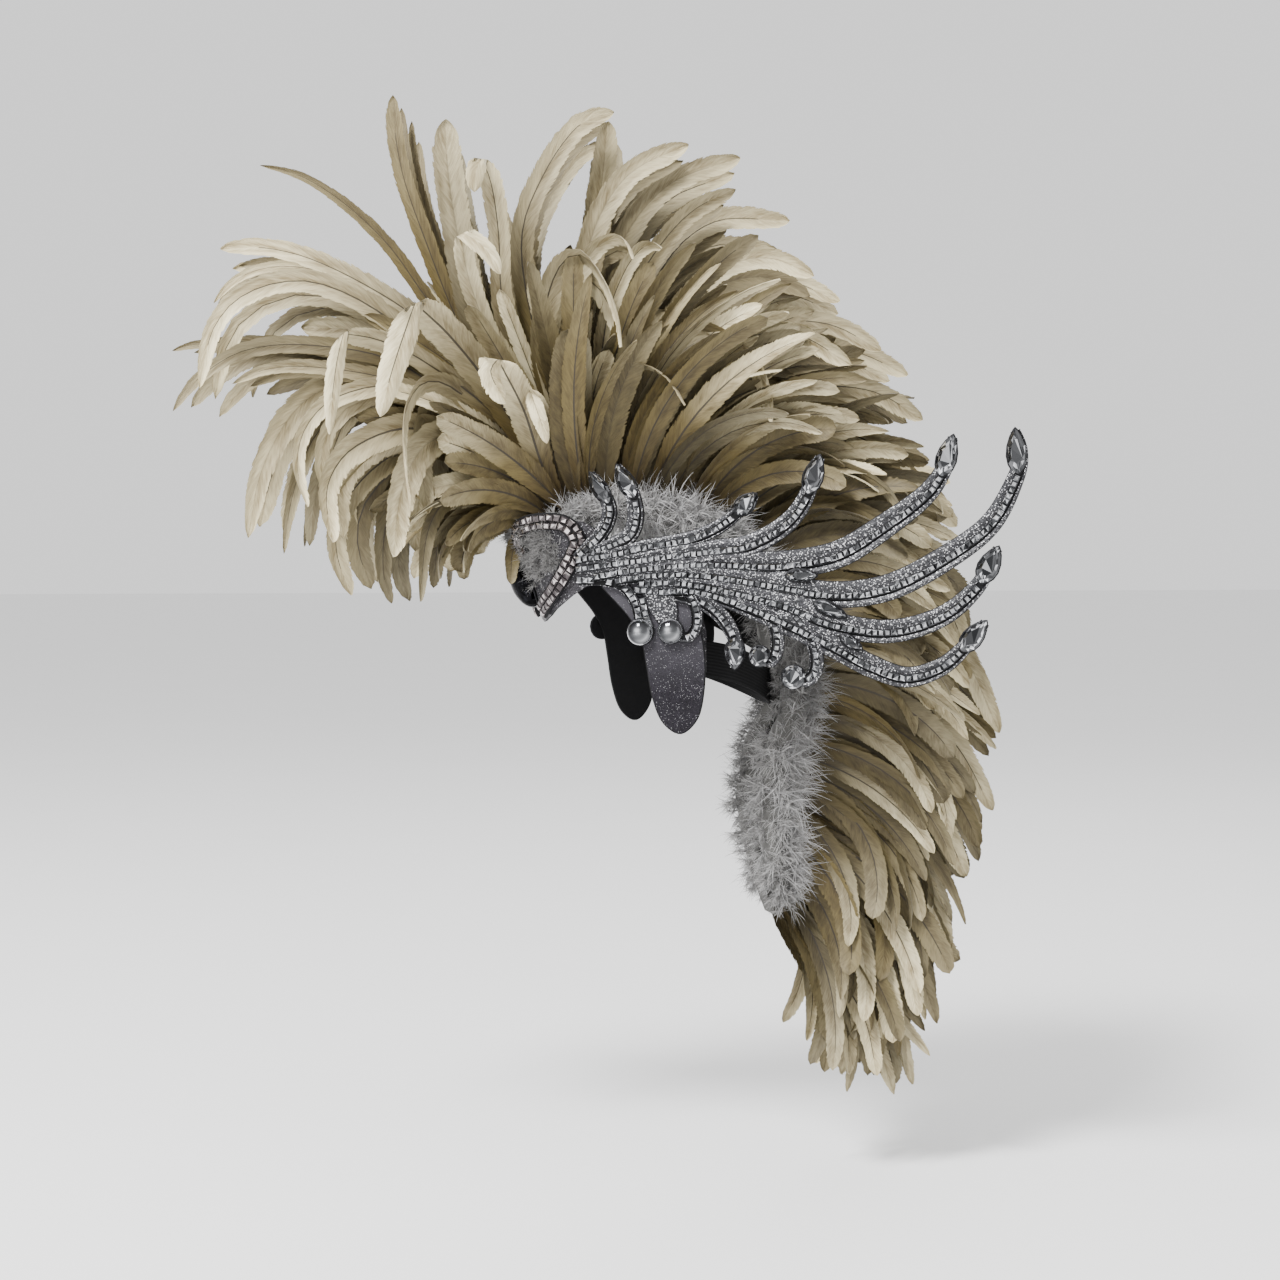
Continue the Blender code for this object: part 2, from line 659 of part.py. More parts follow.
def flat_solid(points, wall, lift):
    """A flat outline with a wall, from a filled 2D curve. Its lower face lies at the lift."""
    curve = bpy.data.curves.new("outline", "CURVE")
    curve.dimensions = "2D"
    curve.fill_mode = "BOTH"
    curve.extrude = wall / 2
    spline = curve.splines.new("POLY")
    spline.points.add(len(points) - 1)
    for target, point in zip(spline.points, points):
        target.co = (point.x, point.y, 0.0, 1.0)
    spline.use_cyclic_u = True
    obj = loose(curve)
    mesh = evaluated_mesh(obj)
    bpy.data.objects.remove(obj)
    mesh.transform(Matrix.Translation((0.0, 0.0, lift + wall / 2)))
    return mesh


def ribbon_outline(path, widths):
    """The outline of a strip of changing width along a path in the plate's plane."""
    left, right = [], []
    last = len(path) - 1
    for i, (point, along) in enumerate(zip(path, tangents(path))):
        side = Vector((-along.y, along.x, 0.0)) * (width_at(widths, i / last) / 2)
        left.append(point + side)
        right.append(point - side)
    return left + right[::-1]


def disc_outline(centre, radius, sides=14):
    """The outline of a round seat."""
    turns = [math.tau * i / sides for i in range(sides)]
    return [centre + Vector((math.cos(t) * radius, math.sin(t) * radius, 0.0)) for t in turns]


def wing_plate():
    """The cut foam plate: its fields, fronds and curls in one piece."""
    outlines = [ribbon_outline(spaced(on_wing(path), count), widths) for path, widths, count in PLATE_FIELDS]
    for _, path, widths, _, count in TENDRILS:
        outlines.append(ribbon_outline(spaced(on_wing(path), count), widths))
    for _, path, width, radius, _, count in SCROLLS:
        line = spaced(on_wing(path), count)
        outlines.append(ribbon_outline(line, (width, width, width)))
        outlines.append(disc_outline(line[-1], radius * 1.08))
    return fuse([flat_solid(outline, PLATE_WALL, 0.0) for outline in outlines])


def stone_rows():
    """The rows of set stones as raised bars that start together at the plate's front."""
    lift = PLATE_WALL + GAP
    bar = (ROW_WIDTH, ROW_WIDTH, ROW_WIDTH)
    bars = []
    for _, path, _, (stone, _), count in TENDRILS:
        line = spaced(on_wing(path), count * 3)
        clear = [p for p in line if (p - line[-1]).length > stone + ROW_WIDTH]
        bars.append(ribbon_outline(spaced(clear, round(count * ROW_DETAIL)), bar))
    for _, path, _, radius, _, count in SCROLLS:
        line = spaced(on_wing(path), count * 3)
        clear = [p for p in line if (p - line[-1]).length > radius + ROW_WIDTH / 2]
        bars.append(ribbon_outline(spaced(clear, round(count * ROW_DETAIL)), bar))
    bars.append(ribbon_outline(on_wing(ROW_HEAD), bar))
    return fuse([flat_solid(outline, ROW_DEPTH, lift) for outline in bars])


def set_in_wing(name, mesh, frame, finish, spot=None, turn=0.0, lift=0.0):
    """Places a shape in the left plate's frame, by parenting, and its copy on the right."""
    obj = place(name + "_left", mesh, finish)
    obj.parent = frame
    obj.location = (*(spot or Vector((0.0, 0.0))).to_2d(), lift)
    obj.rotation_euler = (0.0, 0.0, turn)
    bpy.context.view_layer.update()
    return obj, mirrored(obj, name + "_right")


def wing_stones(frame):
    """The stones at the tips, the curls' ends and the forks."""
    seat = PLATE_WALL + GAP
    for name, path, _, (length, width), count in TENDRILS:
        line = spaced(on_wing(path), count * 3)
        tip = line[-1]
        reach = next(p for p in reversed(line) if (p - tip).length > length)
        way = (tip - reach).normalized()
        spot = tip - way * (length / 2)
        mesh = stone_mesh(length, width, STONE_DEPTH, 8, 0.55, True)
        set_in_wing(name + "_stone", mesh, frame, CRYSTAL, spot, math.atan2(way.y, way.x), seat)
    for name, path, _, radius, domed, _ in SCROLLS:
        end = on_wing(path)[-1]
        shape = dome_mesh(radius, STONE_DEPTH * 1.5) if domed else stone_mesh(
            radius * 2, radius * 2, STONE_DEPTH, 12, 0.6, False)
        set_in_wing(name + "_stone", shape, frame, CRYSTAL, end, 0.0, seat)
    for name, u, v, turn, length, width in FORK_STONES:
        spot = on_wing([(u, v)])[0]
        mesh = stone_mesh(length, width, STONE_DEPTH * 0.8, 8, 0.55, True)
        set_in_wing(name + "_stone", mesh, frame, CRYSTAL, spot, math.radians(turn), seat)


def cheek_flap(frame):
    """The rounded flap in front of the ear, under the plate."""
    points = [Vector((FLAP_MIDDLE + u * FLAP_WIDTH, v * FLAP_DROP, 0.0)) for u, v in FLAP_OUTLINE]
    outline = spaced([*points, points[0]], FLAP_OUTLINE_POINTS)[:-1]
    set_in_wing("cheek_flap", flat_solid(outline, FLAP_WALL, 0.0), frame, GLITTER_FOAM, lift=-(FLAP_WALL + GAP))


def centre_stone():
    """The pear-shaped jet stone on the front of the band."""
    mesh = stone_mesh(CENTRE_STONE_HEIGHT, CENTRE_STONE_WIDTH, CENTRE_STONE_DEPTH, 12, 0.5, False)
    for vert in mesh.vertices:
        share = vert.co.x / (CENTRE_STONE_HEIGHT / 2)
        vert.co.y *= 1.0 - 0.45 * max(0.0, -share)
    spot = wall_point(0.0, CENTRE_STONE_UP, BAND_WALL + GAP)
    normal = wall_normal(0.0, CENTRE_STONE_UP)
    up = Vector((1.0, 0.0, 0.0)).cross(-normal).normalized()
    if up.z < 0:
        up = -up
    obj = place("centre_stone", mesh, JET)
    turn = Matrix((up, normal.cross(up), normal)).transposed().to_4x4()
    obj.matrix_world = Matrix.Translation(spot) @ turn
    return obj


def build():
    """Makes every piece of the headdress."""
    crown_band()
    head_strap()
    crest_strip()
    for name, first, last in PLUME_NODES:
        plume(name, first, last)
    mirrored(marabou_trim("marabou_trim_left"), "marabou_trim_right")
    mirrored(front_scroll("front_scroll_left"), "front_scroll_right")
    centre_stone()
    frame = wing_frame()
    set_in_wing("wing_plate", wing_plate(), frame, GLITTER_FOAM)
    set_in_wing("stone_rows", stone_rows(), frame, CRYSTAL)
    wing_stones(frame)
    cheek_flap(frame)


build()
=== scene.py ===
"""Dresses the feathered headdress's solids for its picture: feathers, down, glitter foam, stones, stage.

The frame has +X to the wearer's left, -Y to the front and +Z up, in metres, with the origin in the middle
of the head opening.
"""

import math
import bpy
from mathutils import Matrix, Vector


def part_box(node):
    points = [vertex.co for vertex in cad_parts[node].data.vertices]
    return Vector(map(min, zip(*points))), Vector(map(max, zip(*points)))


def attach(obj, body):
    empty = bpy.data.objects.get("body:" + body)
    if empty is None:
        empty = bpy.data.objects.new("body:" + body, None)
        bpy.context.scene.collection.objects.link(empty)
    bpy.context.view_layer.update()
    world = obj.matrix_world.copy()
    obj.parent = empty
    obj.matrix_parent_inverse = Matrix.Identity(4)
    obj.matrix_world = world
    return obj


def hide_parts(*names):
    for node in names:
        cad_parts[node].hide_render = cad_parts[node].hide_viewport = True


bl_info = {
    "name": "Feathered headdress",
    "version": (1, 0, 0),
    "blender": (4, 5, 0),
    "location": "View3D > Sidebar > Headdress",
    "description": "Models and finishes a feathered show headdress on its solids",
    "category": "Object",
}

import bpy
import numpy as np
from bpy.props import FloatProperty, FloatVectorProperty, IntProperty, PointerProperty
from mathutils import Matrix, Vector

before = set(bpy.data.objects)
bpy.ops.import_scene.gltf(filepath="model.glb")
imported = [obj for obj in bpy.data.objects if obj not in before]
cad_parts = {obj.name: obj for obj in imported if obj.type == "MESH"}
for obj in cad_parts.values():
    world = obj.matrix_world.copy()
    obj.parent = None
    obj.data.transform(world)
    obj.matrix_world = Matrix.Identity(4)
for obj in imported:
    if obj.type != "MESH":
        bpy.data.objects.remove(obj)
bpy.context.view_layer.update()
BODY = "root"

# Head opening and band, as in the solids
HEAD_WIDTH = 0.156
HEAD_LENGTH = 0.190
GAP = 0.0003
BAND_WALL = 0.003
BAND_RISE = 0.100
BAND_END_ANGLE = 104.0
FRONT_FOOT = 0.17
FRONT_LEAN = 21.0
LEAN_END_ANGLE = 46.0
# Each row: share of the band's end angle, share of the band's rise
SCROLL_PATH = (
    (0.085, 0.26), (0.22, 0.40), (0.30, 0.54), (0.36, 0.70), (0.385, 0.85), (0.34, 0.98), (0.24, 1.00),
    (0.14, 0.95), (0.085, 0.83), (0.115, 0.73),
)
SCROLL_STONE = 0.0056
SCROLL_STONE_DEPTH = 0.0028
SCROLL_POINTS = 90
# Half the scroll's width, its lower and upper edges' heights, its bevel, and how far a row is off its middle
SCROLL_HALF = 0.0072
SCROLL_LOW = 0.0008
SCROLL_HIGH = 0.0034
SCROLL_BEVEL = 0.0006
SCROLL_ROW_ASIDE = 0.0033
CENTRE_STONE_UP = 0.050
CENTRE_STONE_HEIGHT = 0.044
CENTRE_STONE_DEPTH = 0.015

# Elastic strap
STRAP_WALL = 0.0016
STRAP_WIDTH = 0.030
STRAP_EAR_UP = -0.012
STRAP_BACK_UP = -0.040
STRAP_LAP_ANGLE = 10.0
STRAP_FACES = (120, 12)
STRAP_ROLL = 0.0005

# Crest strip
STRIP_WALL = 0.004
STRIP_WIDTH = 0.036
STRIP_NOSE_UP = 0.078
STRIP_RISE = 0.100
TAIL_DROP = 0.235
# Over the head: share of the head's length, share of the rise
STRIP_OVER_HEAD = (
    (-0.52, 0.90), (-0.40, 0.98), (-0.20, 1.01), (0.03, 0.98), (0.22, 0.83), (0.38, 0.57), (0.48, 0.24),
)
# Behind the neck: share of the head's length, share of the drop
STRIP_TAIL = ((0.455, -0.41), (0.44, -0.66), (0.47, -0.86), (0.53, -1.0))
PAD_WIDTH = 0.026
PAD_DEPTH = 0.004

# Feathers
LONGEST_FEATHER = 0.400
BEND_POWER = 1.25
WIDEST_FAN = 37.5
# Each row: share along the strip, heading in degrees from straight back through up, bend in degrees,
# share of the longest feather
PLUMES = (
    (0.040, 150, 118, 0.44), (0.050, 149, 104, 0.58), (0.060, 147, 80, 0.70), (0.070, 139, 56, 0.82),
    (0.080, 135, 42, 0.87), (0.090, 128, 26, 0.89), (0.100, 122, 14, 0.93), (0.112, 110, 5, 0.92),
    (0.124, 106, -22, 0.90), (0.138, 104, -42, 0.88), (0.155, 101, -55, 0.86), (0.175, 98, -66, 0.85),
    (0.200, 94, -76, 0.78), (0.240, 85, -83, 0.70), (0.285, 76, -86, 0.66), (0.335, 65, -82, 0.63),
    (0.390, 50, -82, 0.60), (0.445, 33, -78, 0.56), (0.500, 18, -72, 0.56), (0.560, 8, -70, 0.58),
    (0.625, 0, -70, 0.60), (0.695, -8, -74, 0.66), (0.765, -15, -74, 0.68), (0.835, -24, -66, 0.70),
    (0.900, -34, -52, 0.69), (0.955, -45, -36, 0.62),
)
# Each row: share along the strip, how far the fan opens there
FAN_OPENING = ((0.0, 0.50), (0.07, 0.62), (0.14, 1.0), (0.42, 1.0), (0.58, 0.66), (0.80, 0.50), (1.0, 0.30))
# The share of a fan's width from one filling feather to the next, so that they spread evenly
FAN_STEP = 0.618034
ROOT_ROW_SPREAD = 0.010
OUTER_SHORTER = 0.18
# Each row: piece, the plume's node, its first and last share along the strip, how many feathers fill it,
# how long they are against the plume's table, their greyness (partly painted shade), how many feathers like
# each placed one stand behind
FEATHER_GROUPS = (
    ("brow_feathers", "plume_brow", 0.036, 0.094, 44, 0.60, 0.45, 2),
    ("front_feathers", "plume_front", 0.096, 0.164, 55, 0.70, 0.20, 3),
    ("crown_feathers", "plume_crown", 0.166, 0.309, 150, 0.90, 0.42, 3),
    ("back_feathers", "plume_back", 0.311, 0.529, 170, 0.94, 0.80, 3),
    ("nape_feathers", "plume_nape", 0.531, 0.729, 120, 0.95, 0.72, 3),
    ("tail_feathers", "plume_tail", 0.731, 0.980, 130, 0.92, 0.60, 3),
)
# Feathers like a placed one: how many steps they take across the crest, how far they stray in pixels, and the
# furthest that one reaches to the wearer's right in millimetres
COMPANION_STEPS = 3.5
COMPANION_DRIFT = 7.0
COMPANION_FURTHEST = -110.0
# The feathers that give the crest its outline, placed one by one. Each row: share along the strip, how far to
# the wearer's left its root and its tip are in millimetres, width in millimetres, how tapered, how light,
# its greyness and painted shade, the picture's points that it passes, and the points of its tip where that is
# folded over
SHOW_FEATHERS = (
    (0.042, 4, 20, 13, 0.8, 0.1, 0.5, ((530, 528), (515, 548), (512, 583)), ()),
    (0.048, -4, 10, 16, 0.8, 0.1, 0.8, ((515, 508), (478, 492), (455, 512), (444, 558)), ()),
    (0.050, 6, 40, 14, 0.9, 0.2, 0.8, ((500, 503), (455, 498), (432, 530), (424, 599)), ()),
    (0.055, -6, -20, 18, 0.8, 0.1, 0.9,
     ((505, 490), (455, 456), (415, 472), (393, 520), (389, 571), (397, 603)), ()),
    (0.060, 6, 55, 27, 0.7, 0.7, 0.5, ((500, 470), (455, 438), (425, 450), (405, 495), (398, 555)), ()),
    (0.064, 8, 95, 17, 0.4, 0.8, 0.1,
     ((505, 440), (458, 391), (428, 384), (411, 410), (408, 450), (414, 508)), ()),
    (0.058, -2, 15, 21, 0.7, 0.5, 0.4,
     ((490, 470), (430, 446), (385, 466), (350, 508), (344, 550), (358, 594)), ()),
    (0.062, 4, 50, 24, 0.7, 0.8, 0.2, ((490, 460), (420, 430), (360, 450), (335, 490), (341, 541)), ()),
    (0.066, -8, -40, 13, 0.9, 0.4, 0.5,
     ((485, 455), (420, 412), (367, 410), (325, 440), (303, 500), (295, 555)), ()),
    (0.070, 0, 10, 23, 0.8, 0.6, 0.3,
     ((480, 440), (420, 398), (360, 385), (310, 410), (275, 470), (261, 538)), ()),
    (0.072, 8, 70, 15, 0.5, 1.0, 0.1,
     ((480, 430), (410, 390), (350, 398), (318, 425), (307, 465), (317, 506)), ()),
    (0.074, -6, -30, 21, 0.3, 0.6, 0.6, ((495, 430), (430, 372), (375, 340), (312, 336)), ()),
    (0.076, 2, 25, 15, 0.8, 0.4, 0.5,
     ((495, 440), (410, 370), (330, 352), (262, 356), (215, 385), (192, 416)), ()),
    (0.078, 7, 60, 13, 0.8, 0.5, 0.3, ((490, 440), (410, 388), (329, 372), (279, 374), (247, 388)), ()),
    (0.080, -3, -15, 12, 0.7, 0.2, 0.5,
     ((500, 430), (430, 386), (354, 360), (279, 350), (217, 353), (192, 360)), ()),
    (0.082, 8, 85, 16, 0.9, 0.9, 0.2,
     ((500, 420), (430, 365), (385, 343), (352, 337)), ((346, 362), (341, 400), (339, 434))),
    (0.084, 6, 45, 19, 0.7, 0.9, 0.4,
     ((500, 420), (410, 336), (354, 300), (309, 289), (262, 301), (230, 335), (217, 393)), ()),
    (0.086, -5, -30, 11, 0.7, 0.9, 0.3,
     ((500, 410), (400, 310), (340, 283), (290, 277), (252, 290), (231, 314)), ()),
    (0.088, 9, 100, 25, 0.8, 0.9, 0.1,
     ((500, 400), (455, 340), (420, 306)), ((408, 340), (396, 378), (387, 416))),
    (0.090, 0, 0, 18, 0.3, 0.8, 0.6,
     ((505, 400), (430, 330), (375, 294), (319, 268), (274, 259), (237, 262)), ()),
    (0.092, 9, 80, 24, 0.3, 1.0, 0.1,
     ((545, 470), (525, 410), (500, 360)), ((493, 370), (499, 386), (508, 402))),
    (0.094, 7, 60, 14, 0.8, 1.0, 0.2,
     ((560, 480), (548, 430), (531, 390)), ((536, 404), (543, 424), (548, 442))),
    (0.098, 3, 30, 12, 1.0, 0.1, 0.2,
     ((510, 420), (466, 351), (429, 301), (396, 254), (354, 214), (312, 188), (274, 179)), ()),
    (0.106, -2, -10, 14, 0.1, 0.1, 0.1,
     ((500, 400), (461, 326), (429, 244), (410, 189), (401, 140), (400, 109)), ()),
    (0.112, 4, 25, 24, 0.2, 0.5, 0.9, ((520, 420), (480, 330), (461, 239), (452, 177), (450, 129)), ()),
    (0.116, 8, 70, 16, 0.5, 0.9, 0.2,
     ((525, 420), (490, 335), (470, 275), (466, 238)), ((482, 246), (495, 260), (503, 276))),
    (0.120, 6, 40, 17, 0.2, 0.7, 0.2,
     ((535, 400), (506, 314), (501, 239), (494, 190), (484, 166)), ((479, 178), (478, 198))),
    (0.110, 8, 95, 20, 0.5, 0.8, 0.1,
     ((560, 420), (545, 370), (546, 310), (562, 265), (585, 256), (605, 282), (618, 315), (622, 345)), ()),
    (0.130, 3, 15, 19, 0.2, 0.5, 0.3,
     ((560, 420), (535, 330), (523, 245), (545, 180), (580, 130), (614, 117)), ()),
    (0.135, 8, 75, 16, 0.4, 0.9, 0.1,
     ((575, 420), (570, 330), (585, 264), (612, 239), (628, 243), (634, 258)), ()),
    (0.140, -3, -10, 21, 0.2, 0.3, 0.3, ((590, 420), (588, 330), (597, 230), (604, 170), (608, 127)), ()),
    (0.145, 7, 60, 15, 0.4, 0.8, 0.2, ((600, 420), (605, 330), (625, 271), (646, 245), (662, 247)), ()),
    (0.150, 2, 20, 20, 0.3, 0.6, 0.4, ((600, 420), (580, 330), (592, 240), (628, 178), (688, 146)), ()),
    (0.156, -4, -25, 20, 0.3, 0.5, 0.5, ((605, 420), (600, 330), (620, 250), (668, 188), (740, 159)), ()),
    (0.160, 5, 50, 18, 0.3, 0.4, 0.3, ((610, 430), (615, 330), (650, 260), (690, 212), (735, 187)), ()),
    (0.170, 0, 0, 20, 0.3, 0.6, 0.4, ((620, 430), (635, 340), (665, 265), (715, 222), (790, 220)), ()),
    (0.180, 6, 60, 19, 0.4, 0.7, 0.3, ((630, 430), (660, 340), (710, 275), (765, 255), (815, 272)), ()),
    (0.190, 9, 100, 14, 0.7, 0.4, 0.4,
     ((605, 470), (592, 430), (608, 385), (639, 363), (668, 375), (685, 401)), ()),
    (0.200, -4, -30, 19, 0.3, 0.8, 0.4, ((640, 440), (670, 350), (725, 295), (785, 280), (841, 301)), ()),
    (0.210, 9, 90, 18, 0.6, 0.7, 0.2,
     ((625, 460), (630, 400), (657, 345), (699, 327), (745, 350), (766, 385), (773, 418)), ()),
    (0.220, 5, 50, 20, 0.4, 0.9, 0.3, ((645, 440), (680, 370), (735, 335), (795, 330), (854, 361)), ()),
    (0.240, 0, 5, 20, 0.4, 0.5, 0.5, ((650, 450), (700, 370), (765, 325), (830, 322), (884, 348)), ()),
    (0.260, -5, -35, 20, 0.4, 0.6, 0.4, ((660, 450), (720, 385), (790, 352), (855, 350), (912, 374)), ()),
    (0.290, 3, 25, 20, 0.4, 0.5, 0.6, ((680, 460), (740, 410), (810, 386), (875, 388), (928, 416)), ()),
    (0.330, 5, 60, 21, 0.4, 0.8, 0.4, ((700, 480), (770, 432), (850, 430), (910, 465), (950, 510)), ()),
    (0.360, -4, -30, 22, 0.4, 0.5, 0.6, ((720, 500), (800, 462), (880, 470), (930, 495), (964, 527)), ()),
    (0.420, 2, 20, 22, 0.5, 0.5, 0.5, ((755, 540), (850, 522), (930, 565), (977, 655)), ()),
    (0.480, 0, 0, 21, 0.6, 0.65, 0.5, ((790, 600), (880, 592), (965, 650), (1010, 738)), ()),
    (0.560, 3, 25, 20, 0.6, 0.65, 0.5, ((805, 662), (880, 684), (958, 742), (1003, 817)), ()),
    (0.620, -3, -30, 20, 0.6, 0.5, 0.6, ((805, 702), (880, 726), (950, 776), (991, 839)), ()),
    (0.680, 4, 35, 20, 0.5, 0.75, 0.4, ((800, 745), (865, 772), (938, 816), (976, 884)), ()),
    (0.760, 0, 0, 20, 0.5, 0.7, 0.5, ((795, 800), (860, 836), (925, 886), (959, 959)), ()),
    (0.820, 5, 40, 19, 0.4, 0.8, 0.3, ((793, 838), (850, 880), (905, 945), (924, 1026)), ()),
    (0.870, -4, -25, 18, 0.5, 0.5, 0.5, ((790, 872), (838, 920), (880, 995), (894, 1078)), ()),
    (0.900, 2, 15, 17, 0.7, 0.6, 0.4, ((793, 890), (848, 938), (895, 1012), (919, 1098)), ()),
    (0.940, 6, 45, 18, 0.5, 0.7, 0.4, ((790, 915), (830, 965), (868, 1025), (882, 1086)), ()),
)
# Faces across and along a feather: one of the hundreds that fill the crest, and one that is placed
FILL_BLANK = (4, 14)
FINE_BLANK = (6, 30)
# How far a folded tip hangs in front of its own feather, and how much longer its crease is than its vane is
# wide
FOLD_GAP = 0.008
CREASE_WIDTH = 1.1
# How far a vane's edges stand up, as a share of its width
VANE_CUP = 0.12

# Marabou: share along the strip, core radius, how far its middle stands off the strip, reach of the down,
# how light, as painted shade: the roll is darkest behind the neck
DOWN_SECTIONS = (
    (0.05, 0.008, 0.000, 0.016, 0.85), (0.14, 0.010, 0.002, 0.030, 1.0), (0.30, 0.011, 0.002, 0.034, 0.95),
    (0.46, 0.010, 0.004, 0.028, 0.40), (0.56, 0.010, 0.008, 0.028, 0.22), (0.67, 0.013, 0.008, 0.034, 0.46),
    (0.80, 0.014, 0.005, 0.036, 0.66), (0.92, 0.012, 0.008, 0.030, 0.62), (0.985, 0.007, 0.006, 0.022, 0.50),
)
# The core cord's tone: painted near-black as the shade deep inside the down
DOWN_CORE_SHADE = 0.05
DOWN_STATIONS = 60
CORE_CORNERS = 12
# Strands in a tuft and how wide each is, beside the strip and then in the front heart, and the heart's tufts
TUFT_STRANDS = 26
STRAND_WIDTH = 0.0006
FRONT_TUFT_STRANDS = 20
FRONT_STRAND_WIDTH = 0.0005
FRONT_TUFTS = 560
FRONT_DOWN_ANGLE = 30.0
# How much shorter the strands are that point towards the neck
DOWN_NECK_TRIM = 0.55
# The down lies flat against the outside of the strap between these heights
STRAP_DOWN = (-0.062, -0.014)

# Wing plates
WING_FLARE = 20.0
WING_REACH = 0.323
WING_RISE = 0.172
PLATE_WALL = 0.003
FLAP_WALL = 0.003
# Each frond: name, path as shares of the reach and the rise, widths at root, middle and tip, its stone's
# length and width
FRONDS = (
    ("front_stem", ((-0.135, 0.405), (-0.108, 0.455), (-0.078, 0.51), (-0.056, 0.58), (-0.052, 0.65),
                    (-0.075, 0.75), (-0.098, 0.805)), (0.009, 0.013, 0.006), (0.029, 0.013)),
    ("rear_stem", ((-0.110, 0.425), (-0.055, 0.46), (-0.002, 0.51), (0.015, 0.58), (0.014, 0.66),
                   (-0.003, 0.77), (-0.030, 0.84)), (0.009, 0.014, 0.006), (0.030, 0.014)),
    ("short_frond", ((-0.130, 0.398), (-0.035, 0.424), (0.04, 0.458), (0.14, 0.490), (0.200, 0.528),
                     (0.255, 0.59), (0.320, 0.705)), (0.009, 0.013, 0.007), (0.023, 0.015)),
    ("upper_frond", ((-0.130, 0.352), (-0.06, 0.375), (0.03, 0.397), (0.11, 0.419), (0.21, 0.441),
                     (0.305, 0.468), (0.395, 0.565), (0.445, 0.69), (0.480, 0.880)),
     (0.009, 0.018, 0.008), (0.032, 0.016)),
    ("long_frond", ((-0.085, 0.318), (-0.02, 0.340), (0.05, 0.358), (0.12, 0.372), (0.22, 0.380),
                    (0.38, 0.375), (0.52, 0.42), (0.63, 0.54), (0.745, 0.705), (0.795, 0.850),
                    (0.810, 0.970)),
     (0.008, 0.023, 0.008), (0.034, 0.016)),
    ("sickle_frond", ((-0.03, 0.300), (0.05, 0.322), (0.13, 0.330), (0.22, 0.320), (0.38, 0.275),
                      (0.52, 0.235), (0.66, 0.275), (0.80, 0.415), (0.905, 0.570), (0.965, 0.780),
                      (0.977, 0.900), (0.963, 0.998)),
     (0.008, 0.022, 0.008), (0.036, 0.016)),
    ("lower_frond", ((0.03, 0.285), (0.12, 0.288), (0.22, 0.262), (0.38, 0.19), (0.52, 0.095), (0.66, 0.065),
                     (0.785, 0.135), (0.870, 0.27), (0.905, 0.395), (0.922, 0.452)),
     (0.008, 0.020, 0.008), (0.032, 0.017)),
    ("bottom_frond", ((0.08, 0.245), (0.15, 0.250), (0.24, 0.215), (0.38, 0.115), (0.52, -0.01),
                      (0.61, -0.10), (0.70, -0.150), (0.785, -0.10), (0.845, 0.00), (0.892, 0.107)),
     (0.008, 0.019, 0.008), (0.031, 0.016)),
    ("ear_leaf", ((0.02, 0.255), (0.11, 0.240), (0.18, 0.205), (0.235, 0.13), (0.270, 0.01), (0.268, -0.112)),
     (0.009, 0.014, 0.006), (0.026, 0.016)),
)
# Each curl: name, path, width, its stone's radius, whether that stone is domed
CURLS = (
    ("front_curl", ((-0.130, 0.302), (-0.06, 0.297), (-0.010, 0.262), (0.020, 0.17), (0.028, 0.055)),
     0.0085, 0.0105, True),
    ("ear_curl", ((0.02, 0.30), (0.10, 0.305), (0.145, 0.25), (0.168, 0.18), (0.172, 0.09), (0.150, 0.03),
                  (0.105, 0.060)), 0.0095, 0.0100, True),
    ("inner_curl", ((0.20, 0.28), (0.29, 0.24), (0.345, 0.16), (0.372, 0.07), (0.374, -0.03), (0.358, -0.080),
                    (0.331, -0.056)), 0.0115, 0.0085, False),
    ("outer_curl", ((0.30, 0.24), (0.39, 0.18), (0.44, 0.09), (0.468, -0.01), (0.473, -0.11), (0.452, -0.165),
                    (0.416, -0.153)), 0.0120, 0.0095, False),
)
# Broad leaves of the plate without stones: path, widths at root, middle and tip
LEAVES = (
    (((-0.128, 0.350), (-0.02, 0.375), (0.10, 0.375), (0.25, 0.345), (0.40, 0.270), (0.46, 0.20)),
     (0.024, 0.030, 0.010)),
    (((0.05, 0.28), (0.080, 0.20), (0.103, 0.10)), (0.016, 0.024, 0.012)),
)
# A short row of small stones down the front leaf
LEAF_ROW = ((0.034, 0.205), (0.040, 0.150), (0.052, 0.088))
LEAF_ROW_WIDTH = 0.006
# The order in which the rows are filled. 0 to 8 are the fronds, 9 to 12 the curls and 13 the leaf's row, and
# a stone gives way to the ones before it
ROW_ORDER = (5, 4, 3, 2, 6, 7, 9, 0, 1, 11, 12, 10, 8, 13)
SMALL_STONE_DEPTH = 0.0024
SMALL_CUP_DEPTH = 0.0008
# Each row: name, share of reach, share of rise, turn in degrees, length, width
FORK_STONES = (
    ("upper_fork", 0.436, 0.325, 0.0, 0.020, 0.0085),
    ("middle_fork", 0.508, 0.165, -24.0, 0.023, 0.0090),
    ("lower_fork", 0.560, 0.012, -32.0, 0.017, 0.0075),
)
FLAP_WIDTH = 0.046
FLAP_DROP = 0.074
FLAP_MIDDLE = 0.039
FLAP_CORNERS = 120
# Each row: share of the width from the flap's middle, share of the drop
FLAP_OUTLINE = (
    (-1.36, 0.62), (-1.10, 0.45), (-0.86, 0.28), (-0.66, 0.06), (-0.56, -0.24), (-0.46, -0.58),
    (-0.27, -0.87), (0.06, -1.00), (0.36, -0.84), (0.48, -0.55), (0.50, -0.16), (0.40, 0.20),
    (0.18, 0.55), (-0.20, 0.86), (-0.80, 0.96), (-1.28, 0.84),
)

